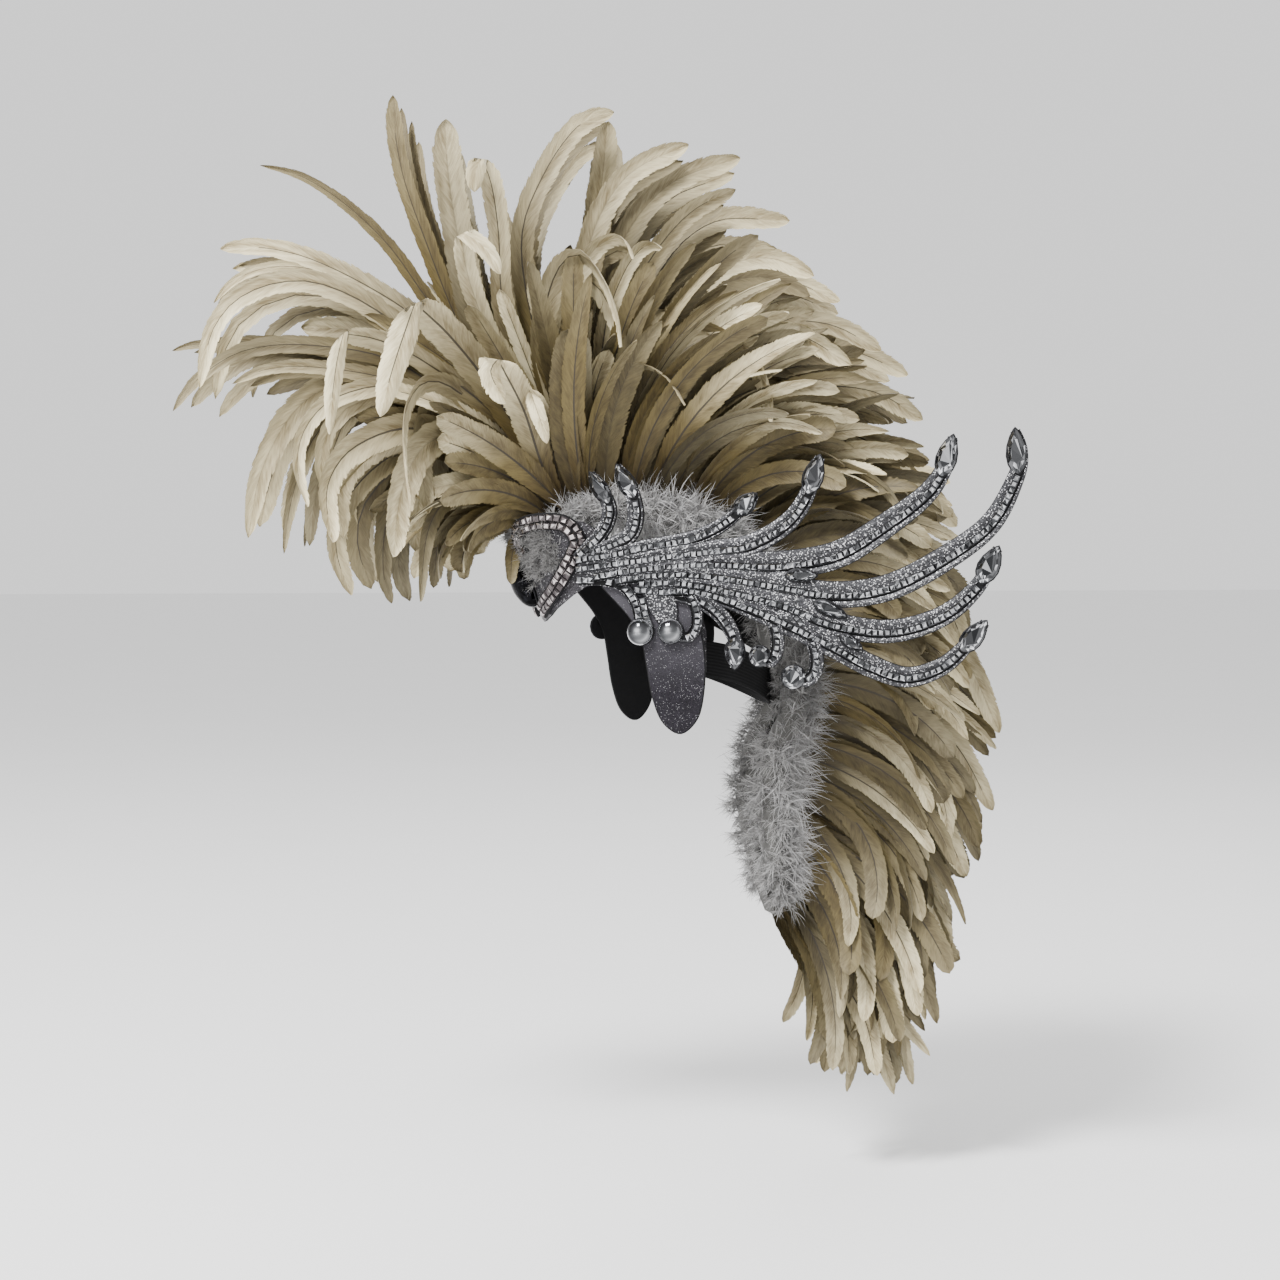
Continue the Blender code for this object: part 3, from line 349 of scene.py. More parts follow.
# Camera, and the picture that the crest's outline feathers are placed by
CAMERA_AZIMUTH = 78.0
CAMERA_HEIGHT_ANGLE = 2.0
CAMERA_DISTANCE = 2.2
PICTURE_SIZE = 1280
PICTURE_SPAN = 1.088
ORIGIN_PIXEL = (658, 640)
FLOOR_UP = -0.46
SENSOR_WIDTH = 36.0
WORLD_STRENGTH = 1.2
# Each light: name, place, power in watts, size
LIGHTS = (
    ("key", (1.9, -2.0, 3.0), 380.0, 1.0),
    ("fill", (2.2, 2.4, 1.0), 22.0, 2.0),
    ("back", (-2.2, 1.2, 2.6), 30.0, 1.8),
)


class HeaddressSizes(bpy.types.PropertyGroup):
    """Sizes that can be set by themselves."""

    feather_width: FloatProperty(
        name="Feather width", description="Full width of a feather's vane", default=0.021, min=0.005,
        unit="LENGTH")
    feather_jitter: FloatProperty(
        name="Feather spread", description="How far each feather's heading strays", default=math.radians(5.0),
        unit="ROTATION")
    down_strands: IntProperty(
        name="Down strands", description="Strands of down on each side of the strip", default=26000, min=100)
    stone_pitch: FloatProperty(
        name="Stone pitch", description="Distance from one small stone to the next", default=0.0050,
        min=0.002, unit="LENGTH")
    stone_size: FloatProperty(
        name="Stone size", description="Side of a small square stone", default=0.0047, min=0.001,
        unit="LENGTH")
    glitter_size: FloatProperty(
        name="Glitter size", description="Size of a glitter flake", default=0.0007, min=0.0002, unit="LENGTH")


class HeaddressColours(bpy.types.PropertyGroup):
    """Colours of the finishes."""

    feather_tip: FloatVectorProperty(
        name="Feather tip", description="Colour of the feathers' tips", subtype="COLOR", size=3,
        default=(0.76, 0.67, 0.43))
    feather_middle: FloatVectorProperty(
        name="Feather middle", description="Colour of the feathers' middles", subtype="COLOR", size=3,
        default=(0.122, 0.090, 0.028))
    feather_root: FloatVectorProperty(
        name="Feather root", description="Colour of the feathers near their quills", subtype="COLOR", size=3,
        default=(0.055, 0.033, 0.008))
    # The greyer feathers' dark colour is partly their own greyish olive and partly painted shade
    feather_shade: FloatVectorProperty(
        name="Feather shade", description="Colour of the greyer feathers", subtype="COLOR", size=3,
        default=(0.045, 0.037, 0.018))
    quill: FloatVectorProperty(
        name="Quill", description="Colour of the quills", subtype="COLOR", size=3,
        default=(0.022, 0.017, 0.011))
    down: FloatVectorProperty(
        name="Down", description="Colour of the marabou", subtype="COLOR", size=3, default=(0.53, 0.52, 0.51))
    glitter: FloatVectorProperty(
        name="Glitter", description="Colour of the glitter foam", subtype="COLOR", size=3,
        default=(0.050, 0.050, 0.055))


def sizes():
    """The size properties."""
    return bpy.context.scene.headdress_sizes


def colours():
    """The colour properties."""
    return bpy.context.scene.headdress_colours


class Wire:
    """A node's output that takes part in Python expressions. Each operator adds a Math node."""

    def __init__(self, bench, socket):
        self.bench = bench
        self.socket = socket

    def maths(self, operation, *values):
        return self.bench.node("ShaderNodeMath", {"operation": operation}, dict(enumerate(values)))

    def __add__(self, other):
        return self.maths("ADD", self, other)

    def __radd__(self, other):
        return self.maths("ADD", other, self)

    def __sub__(self, other):
        return self.maths("SUBTRACT", self, other)

    def __rsub__(self, other):
        return self.maths("SUBTRACT", other, self)

    def __mul__(self, other):
        return self.maths("MULTIPLY", self, other)

    def __rmul__(self, other):
        return self.maths("MULTIPLY", other, self)

    def __truediv__(self, other):
        return self.maths("DIVIDE", self, other)

    def __pow__(self, other):
        return self.maths("POWER", self, other)

    def __gt__(self, other):
        return self.maths("GREATER_THAN", self, other)

    def __lt__(self, other):
        return self.maths("LESS_THAN", self, other)

    def __abs__(self):
        return self.maths("ABSOLUTE", self)

    def clamped(self):
        """The value held between 0 and 1."""
        return self.maths("MINIMUM", self.maths("MAXIMUM", self, 0.0), 1.0)

    def part(self, index):
        """One of a vector's three numbers."""
        return self.bench.node("ShaderNodeSeparateXYZ", {}, {0: self}, output=index)


class Bench:
    """Builds one material's nodes round its Principled shader."""

    def __init__(self, name, roughness=0.5, metallic=0.0, **constants):
        self.material = bpy.data.materials.new(name)
        self.material.use_nodes = True
        self.nodes = self.material.node_tree.nodes
        self.links = self.material.node_tree.links
        self.shader = self.nodes["Principled BSDF"]
        self.shader.inputs["Roughness"].default_value = roughness
        self.shader.inputs["Metallic"].default_value = metallic
        for key, value in constants.items():
            self.shader.inputs[key.replace("_", " ")].default_value = value

    def feed(self, socket, value):
        """Links a wire to an input, or sets a constant on it."""
        if isinstance(value, Wire):
            self.links.new(value.socket, socket)
        else:
            socket.default_value = value

    def node(self, kind, settings, inputs, output=0, stops=None):
        """Adds a node: its settings first, then a ramp's stops, then its inputs."""
        node = self.nodes.new(kind)
        for key, value in settings.items():
            setattr(node, key, value)
        if stops:
            ramp = node.color_ramp
            while len(ramp.elements) < len(stops):
                ramp.elements.new(0.5)
            for element, (place, colour) in zip(ramp.elements, stops):
                element.position = place
                element.color = colour
        for key, value in inputs.items():
            self.feed(node.inputs[key], value)
        return Wire(self, node.outputs[output])

    def mix(self, factor, first, second):
        """A mix of two colours."""
        def colour(value):
            return value if isinstance(value, Wire) else (*tuple(value)[:3], 1.0)
        return self.node("ShaderNodeMix", {"data_type": "RGBA"},
                         {0: factor, 6: colour(first), 7: colour(second)}, output=2)

    def place(self):
        """The object coordinates."""
        return self.node("ShaderNodeTexCoord", {}, {}, output="Object")

    def attribute(self, name, output="Fac"):
        """A stored attribute."""
        return self.node("ShaderNodeAttribute", {"attribute_name": name}, {}, output=output)

    def noise(self, vector, scale, detail=2.0):
        """A noise value."""
        return self.node("ShaderNodeTexNoise", {}, {"Vector": vector, "Scale": scale, "Detail": detail})

    def join(self, x, y, z=0.0):
        """A vector from three values."""
        return self.node("ShaderNodeCombineXYZ", {}, {0: x, 1: y, 2: z})

    def finish(self, colour=None, roughness=None, height=None, bump=0.3, depth=0.0005, alpha=None):
        """Feeds the shader and returns the material."""
        if colour is not None:
            self.feed(self.shader.inputs["Base Color"], colour)
        if roughness is not None:
            self.feed(self.shader.inputs["Roughness"], roughness)
        if alpha is not None:
            self.feed(self.shader.inputs["Alpha"], alpha)
        if height is not None:
            normal = self.node("ShaderNodeBump", {}, {"Strength": bump, "Distance": depth, "Height": height})
            self.feed(self.shader.inputs["Normal"], normal)
        return self.material


def feather_finish():
    """Dyed cock feather: a dark quill, slanting barbs, a ragged margin, and each feather's own tint, with
    painted shade on one half of each vane and on the greyer feathers.
    """
    bench = Bench("champagne_feather_finish", 0.55, Sheen_Weight=0.06, Sheen_Roughness=0.4,
                  Specular_IOR_Level=0.35)
    coat = colours()
    vane = bench.node("ShaderNodeUVMap", {"uv_map": "vane"}, {})
    along = vane.part(1)
    aside = abs(vane.part(0) * 2.0 - 1.0)
    tint = bench.attribute("tint", "Vector")
    own, greyness_and_shade, seed = tint.part(0), tint.part(1), tint.part(2)
    # Painted shade: one half of each vane, on either side of the quill, is darkened as if turned from the
    # light
    turned = abs((vane.part(0) > 0.5) - (seed > 0.5))
    barb = along * 9.0 - aside * 0.55
    fine = bench.noise(bench.join(barb * 9.0, aside * 0.6, seed * 40.0), 3.4, 3.0) - 0.5
    split = bench.noise(bench.join(barb * 3.0, aside * 0.8, seed * 40.0), 3.0, 2.0) - 0.5
    broad = bench.noise(bench.join(barb * 1.0, aside * 1.2, seed * 40.0), 1.6, 2.0) - 0.5
    # Greyer feathers mix towards the dark shade colour: partly their own tone, partly painted shade
    root = bench.mix((greyness_and_shade * 0.9).clamped(), coat.feather_root, coat.feather_shade)
    middle = bench.mix((greyness_and_shade * 0.75).clamped(), coat.feather_middle, coat.feather_shade)
    base = bench.mix((along * 3.0 - 0.2).clamped(), root, middle)
    pale = (along * 1.9 - 1.28 + own * 0.72).clamped() * (0.18 + own * 0.82)
    light = bench.mix(pale, base, coat.feather_tip)
    # Barb noise, and painted shade on the turned half; the vane is also darker by its quill and lighter at
    # its edges
    streaks_and_shade = (0.78 + fine * 1.0 + split * 0.9 + broad * 1.5 + (aside - 0.5) * 0.3 - turned * 0.30).clamped()
    barbs = bench.mix(streaks_and_shade, (0.36, 0.32, 0.25), (1.0, 1.0, 1.0))
    shaded = bench.node("ShaderNodeMix", {"data_type": "RGBA", "blend_type": "MULTIPLY"},
                        {0: 1.0, 6: light, 7: barbs}, output=2)
    quill = (aside < (0.100 - along * 0.070)) * (0.25 + (seed > 0.35) * 0.65) * (along < 0.92)
    colour = bench.mix(quill, shaded, coat.quill)
    down = (0.26 - along).clamped() * 1.6
    ragged = 0.95 + fine * 0.35 + split * 0.5 - down * (broad + 0.5)
    alpha = 1.0 - (aside > ragged)
    return bench.finish(colour, 0.58 + fine * 0.3, fine + split + (1.0 - aside) * 0.6, 0.45, 0.0008, alpha)


def down_finish():
    """Marabou down."""
    bench = Bench("white_marabou_finish", 0.8, Sheen_Weight=0.25, Specular_IOR_Level=0.3)
    strand = bench.attribute("tint", "Vector")
    # Painted shade: low tones mix towards near-black, the shade deep in the down
    deep = bench.mix(strand.part(0), (0.060, 0.058, 0.054), colours().down)
    colour = bench.mix((strand.part(1) * strand.part(0) * 0.5).clamped(), deep, (0.62, 0.62, 0.63))
    return bench.finish(colour)


def glitter_parts(bench, colour, dark, finer=1.0):
    """The colour, roughness and height of glitter: flakes of random brightness and tilt, a few of them
    painted near white as painted glints. Dark glitter has fewer painted glints, and a finer one smaller
    flakes."""
    place = bench.place()
    flake = bench.node("ShaderNodeTexVoronoi", {"feature": "F1"},
                       {"Vector": place, "Scale": finer / sizes().glitter_size}, output="Color")
    lit, tilt = flake.part(0), flake.part(1)
    coarse = bench.noise(place, 90.0, 2.0)
    low = tuple(c * 0.12 for c in colour)
    high = tuple(min(1.0, c * 2.0) for c in colour)
    base = bench.mix(lit, low, high)
    # Painted highlight: the brightest, most tilted flakes get a near-white glint in their colour
    painted_glint = (lit > 0.82 + dark * 0.14) * (tilt > 0.40 + dark * 0.15)
    tone = bench.mix(painted_glint * (0.9 - dark * 0.30), base, (0.98, 0.98, 1.0))
    return bench.mix((coarse * 0.6 + dark * 0.2).clamped(), tone, low), 0.34 + tilt * 0.35, lit + tilt * 0.5


def glitter_finish(name, colour, dark=0.0, falling=False):
    """Foam faced with glitter. A falling one is brighter at its top."""
    bench = Bench(name, 0.45, 0.35, Specular_IOR_Level=0.12 if falling else 0.3)
    shade, rough, height = glitter_parts(bench, colour, dark, 1.7 if falling else 1.0)
    if falling:
        up = bench.place().part(2)
        deep = (up * -14.0 + 0.45).clamped()
        shade = bench.mix(deep, bench.mix(0.4, shade, (0.13, 0.125, 0.14)), shade)
    return bench.finish(shade, rough, height, 0.8, 0.0005)


def band_finish():
    """The band: dusky glitter on its outer face and black foam inside."""
    bench = Bench("band_foam_finish", 0.5, 0.3, Specular_IOR_Level=0.15)
    shade, _, height = glitter_parts(bench, (0.06, 0.057, 0.063), 0.7, 1.1)
    normal = bench.node("ShaderNodeNewGeometry", {}, {}, output="Normal")
    place = bench.place()
    outward = (normal.part(0) * place.part(0) + normal.part(1) * place.part(1)) > 0.0
    colour = bench.mix(outward, (0.006, 0.006, 0.0065), shade)
    return bench.finish(colour, 0.7 - outward * 0.3, height, 0.5, 0.0004)


def black_foam_finish():
    """The black cut edge and back of the foam."""
    bench = Bench("black_foam_finish", 0.8, Specular_IOR_Level=0.15)
    grain = bench.noise(bench.place(), 900.0, 3.0)
    colour = bench.mix(grain, (0.002, 0.002, 0.0022), (0.010, 0.010, 0.011))
    return bench.finish(colour, 0.6 + grain * 0.25, grain)


def crystal_finish(name, dark, bright, split, coat=0.25):
    """Cut stone with a mirrored back: each facet's colour has a brightness of its own, a painted reflection.
    """
    bench = Bench(name, 0.06, 0.85, Coat_Weight=coat, Coat_Roughness=0.03, Specular_IOR_Level=coat * 2.0)
    facet = bench.attribute("facet", "Fac")
    ramp = bench.node("ShaderNodeValToRGB", {}, {0: facet}, stops=(
        (0.0, (*dark, 1.0)), (split, (*(d * 0.65 + b * 0.35 for d, b in zip(dark, bright)), 1.0)),
        (1.0, (*bright, 1.0))))
    return bench.finish(ramp, 0.04 + facet * 0.08)


def setting_finish():
    """Dark plated metal of the stones' settings."""
    bench = Bench("dark_setting_finish", 0.45, 0.6, Specular_IOR_Level=0.2)
    wear = bench.noise(bench.place(), 500.0)
    return bench.finish(bench.mix(wear, (0.003, 0.003, 0.0033), (0.022, 0.022, 0.024)), 0.4 + wear * 0.2)


def elastic_finish():
    """Woven black elastic, ribbed along its length."""
    bench = Bench("black_elastic_finish", 0.85, Specular_IOR_Level=0.12)
    weave = bench.node("ShaderNodeUVMap", {"uv_map": "weave"}, {})
    rib = bench.node("ShaderNodeTexWave", {"bands_direction": "Y"},
                     {"Vector": weave, "Scale": 3.5, "Distortion": 0.3})
    pick = bench.node("ShaderNodeTexWave", {"bands_direction": "X"}, {"Vector": weave, "Scale": 40.0})
    height = rib * 0.7 + pick * 0.3
    colour = bench.mix(height, (0.0015, 0.0015, 0.0015), (0.009, 0.009, 0.0095))
    return bench.finish(colour, 0.7 + pick * 0.15, height, 0.6, 0.0004)


def felt_finish():
    """Stiff felt of the strip, very dark: partly its own colour, partly painted shade where it shows between
    the down.
    """
    bench = Bench("strip_felt_finish", 0.9, Sheen_Weight=0.1, Specular_IOR_Level=0.1)
    fuzz = bench.noise(bench.place(), 700.0, 4.0)
    tuft = bench.noise(bench.place(), 60.0, 2.0)
    colour = bench.mix(fuzz * 0.7 + tuft * 0.3, (0.012, 0.0115, 0.010), (0.050, 0.047, 0.042))
    return bench.finish(colour, None, fuzz, 0.5, 0.0006)


FINISHES = {}


def finish_named(name):
    """A finish, made the first time that it is asked for."""
    makers = {
        "feather": feather_finish,
        "down": down_finish,
        "glitter": lambda: glitter_finish("silver_glitter_finish", colours().glitter),
        "flap_glitter": lambda: glitter_finish("dusk_glitter_finish", (0.030, 0.027, 0.034), 0.95, True),
        "band": band_finish,
        "black_foam": black_foam_finish,
        "crystal": lambda: crystal_finish("crystal_finish", (0.012, 0.013, 0.015), (0.80, 0.81, 0.84), 0.45),
        "dusk_crystal": lambda: crystal_finish("dusk_crystal_finish", (0.020, 0.015, 0.017),
                                               (0.66, 0.60, 0.59), 0.45),
        "jet": lambda: crystal_finish("jet_finish", (0.001, 0.001, 0.0012), (0.014, 0.014, 0.017), 0.8, 0.03),
        "setting": setting_finish,
        "elastic": elastic_finish,
        "felt": felt_finish,
    }
    if name not in FINISHES:
        FINISHES[name] = makers[name]()
    return FINISHES[name]


def between(table, share, column):
    """A table's column at a share, straight between its rows. The first column holds the shares."""
    for low, high in zip(table, table[1:]):
        if share <= high[0]:
            part = (share - low[0]) / (high[0] - low[0])
            return low[column] + (high[column] - low[column]) * max(part, 0.0)
    return table[-1][column]


def spaced(points, count):
    """So many points at even distances along a smooth curve through the given ones."""
    known = [Vector(p).to_3d() for p in points]
    ends = [2 * known[0] - known[1], *known, 2 * known[-1] - known[-2]]
    fine = []
    for a, b, c, d in zip(ends, ends[1:], ends[2:], ends[3:]):
        for step in range(12):
            t = step / 12
            fine.append(0.5 * (2 * b + (c - a) * t + (2 * a - 5 * b + 4 * c - d) * t * t
                               + (3 * b - a - 3 * c + d) * t ** 3))
    fine.append(known[-1])
    line = np.array([tuple(p) for p in fine])
    reached = np.concatenate(([0.0], np.cumsum(np.linalg.norm(np.diff(line, axis=0), axis=1))))
    wanted = np.linspace(0.0, reached[-1], count)
    return [Vector([np.interp(w, reached, line[:, k]) for k in range(3)]) for w in wanted]


def tangents(points):
    """The direction of a row of points at each of them."""
    last = len(points) - 1
    return [(points[min(i + 1, last)] - points[max(i - 1, 0)]).normalized() for i in range(last + 1)]


def line_length(points):
    """The length of a row of points."""
    return sum((b - a).length for a, b in zip(points, points[1:]))


def deselect():
    """Leaves nothing selected, in object mode."""
    if bpy.context.object and bpy.context.object.mode != "OBJECT":
        bpy.ops.object.mode_set(mode="OBJECT")
    bpy.ops.object.select_all(action="DESELECT")


def taken_apart(shape):
    """The points and faces of a modelled shape, for its copies. The shape itself is deleted."""
    points = np.array([tuple(v.co) for v in shape.data.vertices])
    faces = [tuple(p.vertices) for p in shape.data.polygons]
    mesh = shape.data
    bpy.data.objects.remove(shape)
    bpy.data.meshes.remove(mesh)
    return points, faces


BAR_BLANKS = {}


def bar_blank(corners, stations):
    """A straight bar, cut across at each station: every point's station and corner, its faces, and the side
    that each face is on, or -1 at the ends."""
    if (corners, stations) in BAR_BLANKS:
        return BAR_BLANKS[corners, stations]
    deselect()
    bpy.ops.mesh.primitive_cylinder_add(vertices=corners, radius=1.0, depth=stations, end_fill_type="NGON")
    bar = bpy.context.object
    bpy.ops.object.mode_set(mode="EDIT")
    for cut in range(1, stations):
        bpy.ops.mesh.select_all(action="SELECT")
        bpy.ops.mesh.bisect(plane_co=(0.0, 0.0, cut - stations / 2), plane_no=(0.0, 0.0, 1.0))
    bpy.ops.object.mode_set(mode="OBJECT")
    points, faces = taken_apart(bar)
    station = np.rint(points[:, 2] + stations / 2).astype(int)
    turn = np.arctan2(points[:, 1], points[:, 0])
    corner = np.rint((turn - turn.min()) / math.tau * corners).astype(int) % corners
    sides = []
    for face in faces:
        low, high = min(corner[list(face)]), max(corner[list(face)])
        level = len(set(station[list(face)])) == 1
        sides.append(-1 if level else high if high - low > 1 else low)
    BAR_BLANKS[corners, stations] = station, corner, faces, sides
    return BAR_BLANKS[corners, stations]


class Pile:
    """Gathers the vertices and faces of one piece from many copies of a shape."""

    def __init__(self):
        self.points, self.faces, self.uvs, self.tints, self.finishes = [], [], [], [], []
        self.count = 0

    def add(self, points, faces, uvs=None, tint=None, finish=0):
        """Adds a shape. The uvs are one per vertex, the tint one for all or one per vertex."""
        self.points.append(np.asarray(points, dtype=float))
        self.faces.extend([tuple(i + self.count for i in face) for face in faces])
        self.finishes.extend([finish] * len(faces) if isinstance(finish, int) else finish)
        self.count += len(points)
        self.uvs.append(np.zeros((len(points), 2)) if uvs is None else np.asarray(uvs, dtype=float))
        tints = np.zeros(3) if tint is None else np.asarray(tint, dtype=float)
        self.tints.append(np.broadcast_to(tints, (len(points), 3)))

    def piece(self, name, finishes, uv_name="vane", smooth=True):
        """The pile as one mesh object at the origin."""
        mesh = bpy.data.meshes.new(name)
        points = np.concatenate(self.points)
        mesh.from_pydata([tuple(p) for p in points], [], self.faces)
        mesh.update()
        corners = np.zeros(len(mesh.loops), dtype=np.int32)
        mesh.loops.foreach_get("vertex_index", corners)
        layer = mesh.uv_layers.new(name=uv_name)
        layer.data.foreach_set("uv", np.concatenate(self.uvs)[corners].ravel())
        tint = mesh.attributes.new("tint", "FLOAT_VECTOR", "POINT")
        tint.data.foreach_set("vector", np.concatenate(self.tints).ravel())
        for finish in finishes:
            mesh.materials.append(finish_named(finish))
        mesh.polygons.foreach_set("material_index", np.array(self.finishes, dtype=np.int32))
        mesh.polygons.foreach_set("use_smooth", np.full(len(mesh.polygons), smooth))
        obj = bpy.data.objects.new(name, mesh)
        bpy.context.scene.collection.objects.link(obj)
        return obj


def settle(piece, slot, *nodes):
    """Puts a finished piece on the body and hides the nodes that it stands for. Its slot is not used."""
    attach(piece, BODY)
    if nodes:
        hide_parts(*nodes)
    return piece


def wall_lean(angle, up):
    """How far the band leans out from the head at an angle from the front and a height."""
    fade = max(0.0, 1.0 - (abs(angle) / LEAN_END_ANGLE) ** 2)
    return math.tan(math.radians(FRONT_LEAN)) * max(up - FRONT_FOOT * BAND_RISE, 0.0) * fade


def wall_point(angle, up, out=0.0):
    """A point on the band's inner face, or so far out from it."""
    turn = math.radians(angle)
    stand = out + wall_lean(angle, up)
    return Vector(((HEAD_WIDTH / 2 + stand) * math.sin(turn),
                   -(HEAD_LENGTH / 2 + stand) * math.cos(turn), up))


def wall_normal(angle, up):
    """The band's outward normal there."""
    along = wall_point(angle + 0.5, up) - wall_point(angle - 0.5, up)
    rise = wall_point(angle, up + 0.001) - wall_point(angle, up - 0.001)
    return along.cross(rise).normalized()


def strip_line():
    """Points of the crest strip's middle in the median plane."""
    nose_depth = wall_point(0.0, STRIP_NOSE_UP - STRIP_WALL).y + GAP + STRIP_WALL / 4
    behind = HEAD_LENGTH / 2 + STRAP_WALL + GAP + STRIP_WALL / 2
    points = [(0.0, nose_depth, STRIP_NOSE_UP)]
    points += [(0.0, depth * HEAD_LENGTH, rise * STRIP_RISE) for depth, rise in STRIP_OVER_HEAD]
    points += [(0.0, behind, STRAP_BACK_UP + STRAP_WIDTH * side) for side in (0.7, -0.7)]
    points += [(0.0, depth * HEAD_LENGTH, drop * TAIL_DROP) for depth, drop in STRIP_TAIL]
    return spaced(points, 121)


STRIP_LINE = strip_line()
STRIP_HEADINGS = tangents(STRIP_LINE)


def strip_at(share):
    """The crest strip's middle, its outward normal and its direction at a share of its length."""
    place_in = min(max(share, 0.0), 1.0) * (len(STRIP_LINE) - 1)
    low = min(int(place_in), len(STRIP_LINE) - 2)
    part = place_in - low
    middle = STRIP_LINE[low].lerp(STRIP_LINE[low + 1], part)
    heading = STRIP_HEADINGS[low].lerp(STRIP_HEADINGS[low + 1], part).normalized()
    return middle, Vector((0.0, -heading.z, heading.y)), heading


def vane_half(share, tapered):
    """A feather's half width at a share of its length, as a share of its full half width."""
    grown = 0.12 + 0.88 * math.sin(math.pi / 2 * min(max(share - 0.03, 0.0) / 0.42, 1.0))
    blunt = math.sqrt(max(0.0, 1.0 - (max(share - 0.91, 0.0) / 0.09) ** 2))
    point = max(0.0, math.cos(math.pi / 2 * max(share - 0.52, 0.0) / 0.48)) ** 0.75
    return max(0.02, grown * (blunt * (1.0 - tapered) + point * tapered))


def feather_blank(columns, rows):
    """One flat feather: its points as shares across and along, and its faces. It is cut from a plain grid."""
    deselect()
    bpy.ops.mesh.primitive_grid_add(x_subdivisions=columns, y_subdivisions=rows, size=2.0)
    blank = bpy.context.object
    bpy.ops.object.mode_set(mode="EDIT")
    bpy.ops.mesh.select_all(action="SELECT")
    bpy.ops.transform.translate(value=(0.0, 1.0, 0.0))
    bpy.ops.transform.resize(value=(1.0, 0.5, 1.0), center_override=(0.0, 0.0, 0.0))
    bpy.ops.object.mode_set(mode="OBJECT")
    points, faces = taken_apart(blank)
    return points[:, 0], 1.0 - (1.0 - points[:, 1]) ** 1.5, faces


class FeatherPress:
    """Bends copies of the feather blank along their own lines."""

    def __init__(self, columns, rows):
        self.across, self.along, self.faces = feather_blank(columns, rows)
        self.shares = np.linspace(0.0, 1.0, 101)
        self.blunt = np.array([vane_half(s, 0.0) for s in self.shares])
        self.tapered = np.array([vane_half(s, 1.0) for s in self.shares])

    def add(self, pile, stretches, aside, width, rng, twist, taper, own, greyness_and_shade):
        """Adds a feather along its stretches. A second one is the tip where it is folded over. Aside is the
        way that the vane spreads at the root, which turns over at a fold."""
        parts = [np.array([tuple(p) for p in line]) for line in stretches]
        points = np.concatenate(parts)
        ways = np.concatenate([np.gradient(part, axis=0) for part in parts])
        ways /= np.linalg.norm(ways, axis=1)[:, None]
        count = len(points)
        spread = np.empty_like(points)
        current = np.array(aside, dtype=float)
        fold = len(parts[0]) if len(parts) > 1 else -1
        for i in range(count):
            if i == fold:
                turned = np.cross(ways[i], np.cross(ways[i - 1], current))
                level = np.cross(ways[i], (1.0, 0.0, 0.0))
                current = level if level.dot(turned) > 0 else -level
            current = current - ways[i] * current.dot(ways[i])
            current /= np.linalg.norm(current)
            spread[i] = current
        if fold > 0:
            crease = ways[fold - 1] + ways[fold]
            crease *= CREASE_WIDTH / np.linalg.norm(crease) * np.sign(crease.dot(spread[fold - 1]))
            spread[fold - 1:fold + 1] = crease
            spread[fold - 2] = (spread[fold - 2] + crease) / 2
            spread[fold + 1] = (spread[fold + 1] + crease) / 2
        length = np.linalg.norm(np.diff(points, axis=0), axis=1).sum()
        turn = np.linspace(twist[0], twist[1], count)[:, None]
        face = np.cross(ways, spread)
        cosine, sine = np.cos(turn), np.sin(turn)
        spread, face = spread * cosine + face * sine, face * cosine - spread * sine
        profile = self.blunt * (1.0 - taper) + self.tapered * taper
        if fold > 0:
            before = np.linalg.norm(np.diff(parts[0], axis=0), axis=1).sum() / length
            folded = np.clip((self.shares - before) / (1.0 - before), 0.0, 1.0)
            narrowing = (np.maximum(folded - 0.25, 0.0) / 0.75) ** (3.4 - 2.0 * taper)
            tip = np.sqrt(np.maximum(0.0, 1.0 - narrowing))
            grown = np.interp(np.minimum(self.shares, 0.45), self.shares, self.blunt)
            profile = grown * np.where(folded > 0.0, np.maximum(tip, 0.02) * 0.86, 1.0)
        half = np.interp(self.along, self.shares, profile) * width / 2
        notch = 1.0 - np.where(np.abs(self.across) > 0.9, rng.random(len(half)) * 0.10, 0.0)
        half = half * notch
        slant = np.abs(self.across) * half * 0.9 / length
        spot = np.clip(self.along + slant * (1.0 - self.along), 0.0, 1.0)
        reached = np.concatenate(([0.0], np.cumsum(np.linalg.norm(np.diff(points, axis=0), axis=1)))) / length
        spot = np.interp(spot, reached, np.arange(count))
        if fold > 0:
            unslanted = np.interp(self.along, reached, np.arange(count))
            creased = self.along[np.argmin(np.abs(unslanted - fold + 0.5))]
            spot = np.where(np.isclose(self.along, creased), fold - 0.5, spot)

        def at(values):
            return np.stack([np.interp(spot, np.arange(count), values[:, k]) for k in range(3)], axis=1)
        wave = np.sin(self.along * 14.0 + rng.random() * 6.0) * 0.02
        lift = (VANE_CUP * self.across ** 2 + wave * self.across) * width
        lift = lift + np.where(np.abs(self.across) < 0.1, width * 0.03, 0.0)
        made = at(points) + at(spread) * (self.across * half)[:, None] + at(face) * lift[:, None]
        uvs = np.stack([self.across * 0.5 + 0.5, self.along], axis=1)
        pile.add(made, self.faces, uvs, (own, greyness_and_shade, rng.random()))


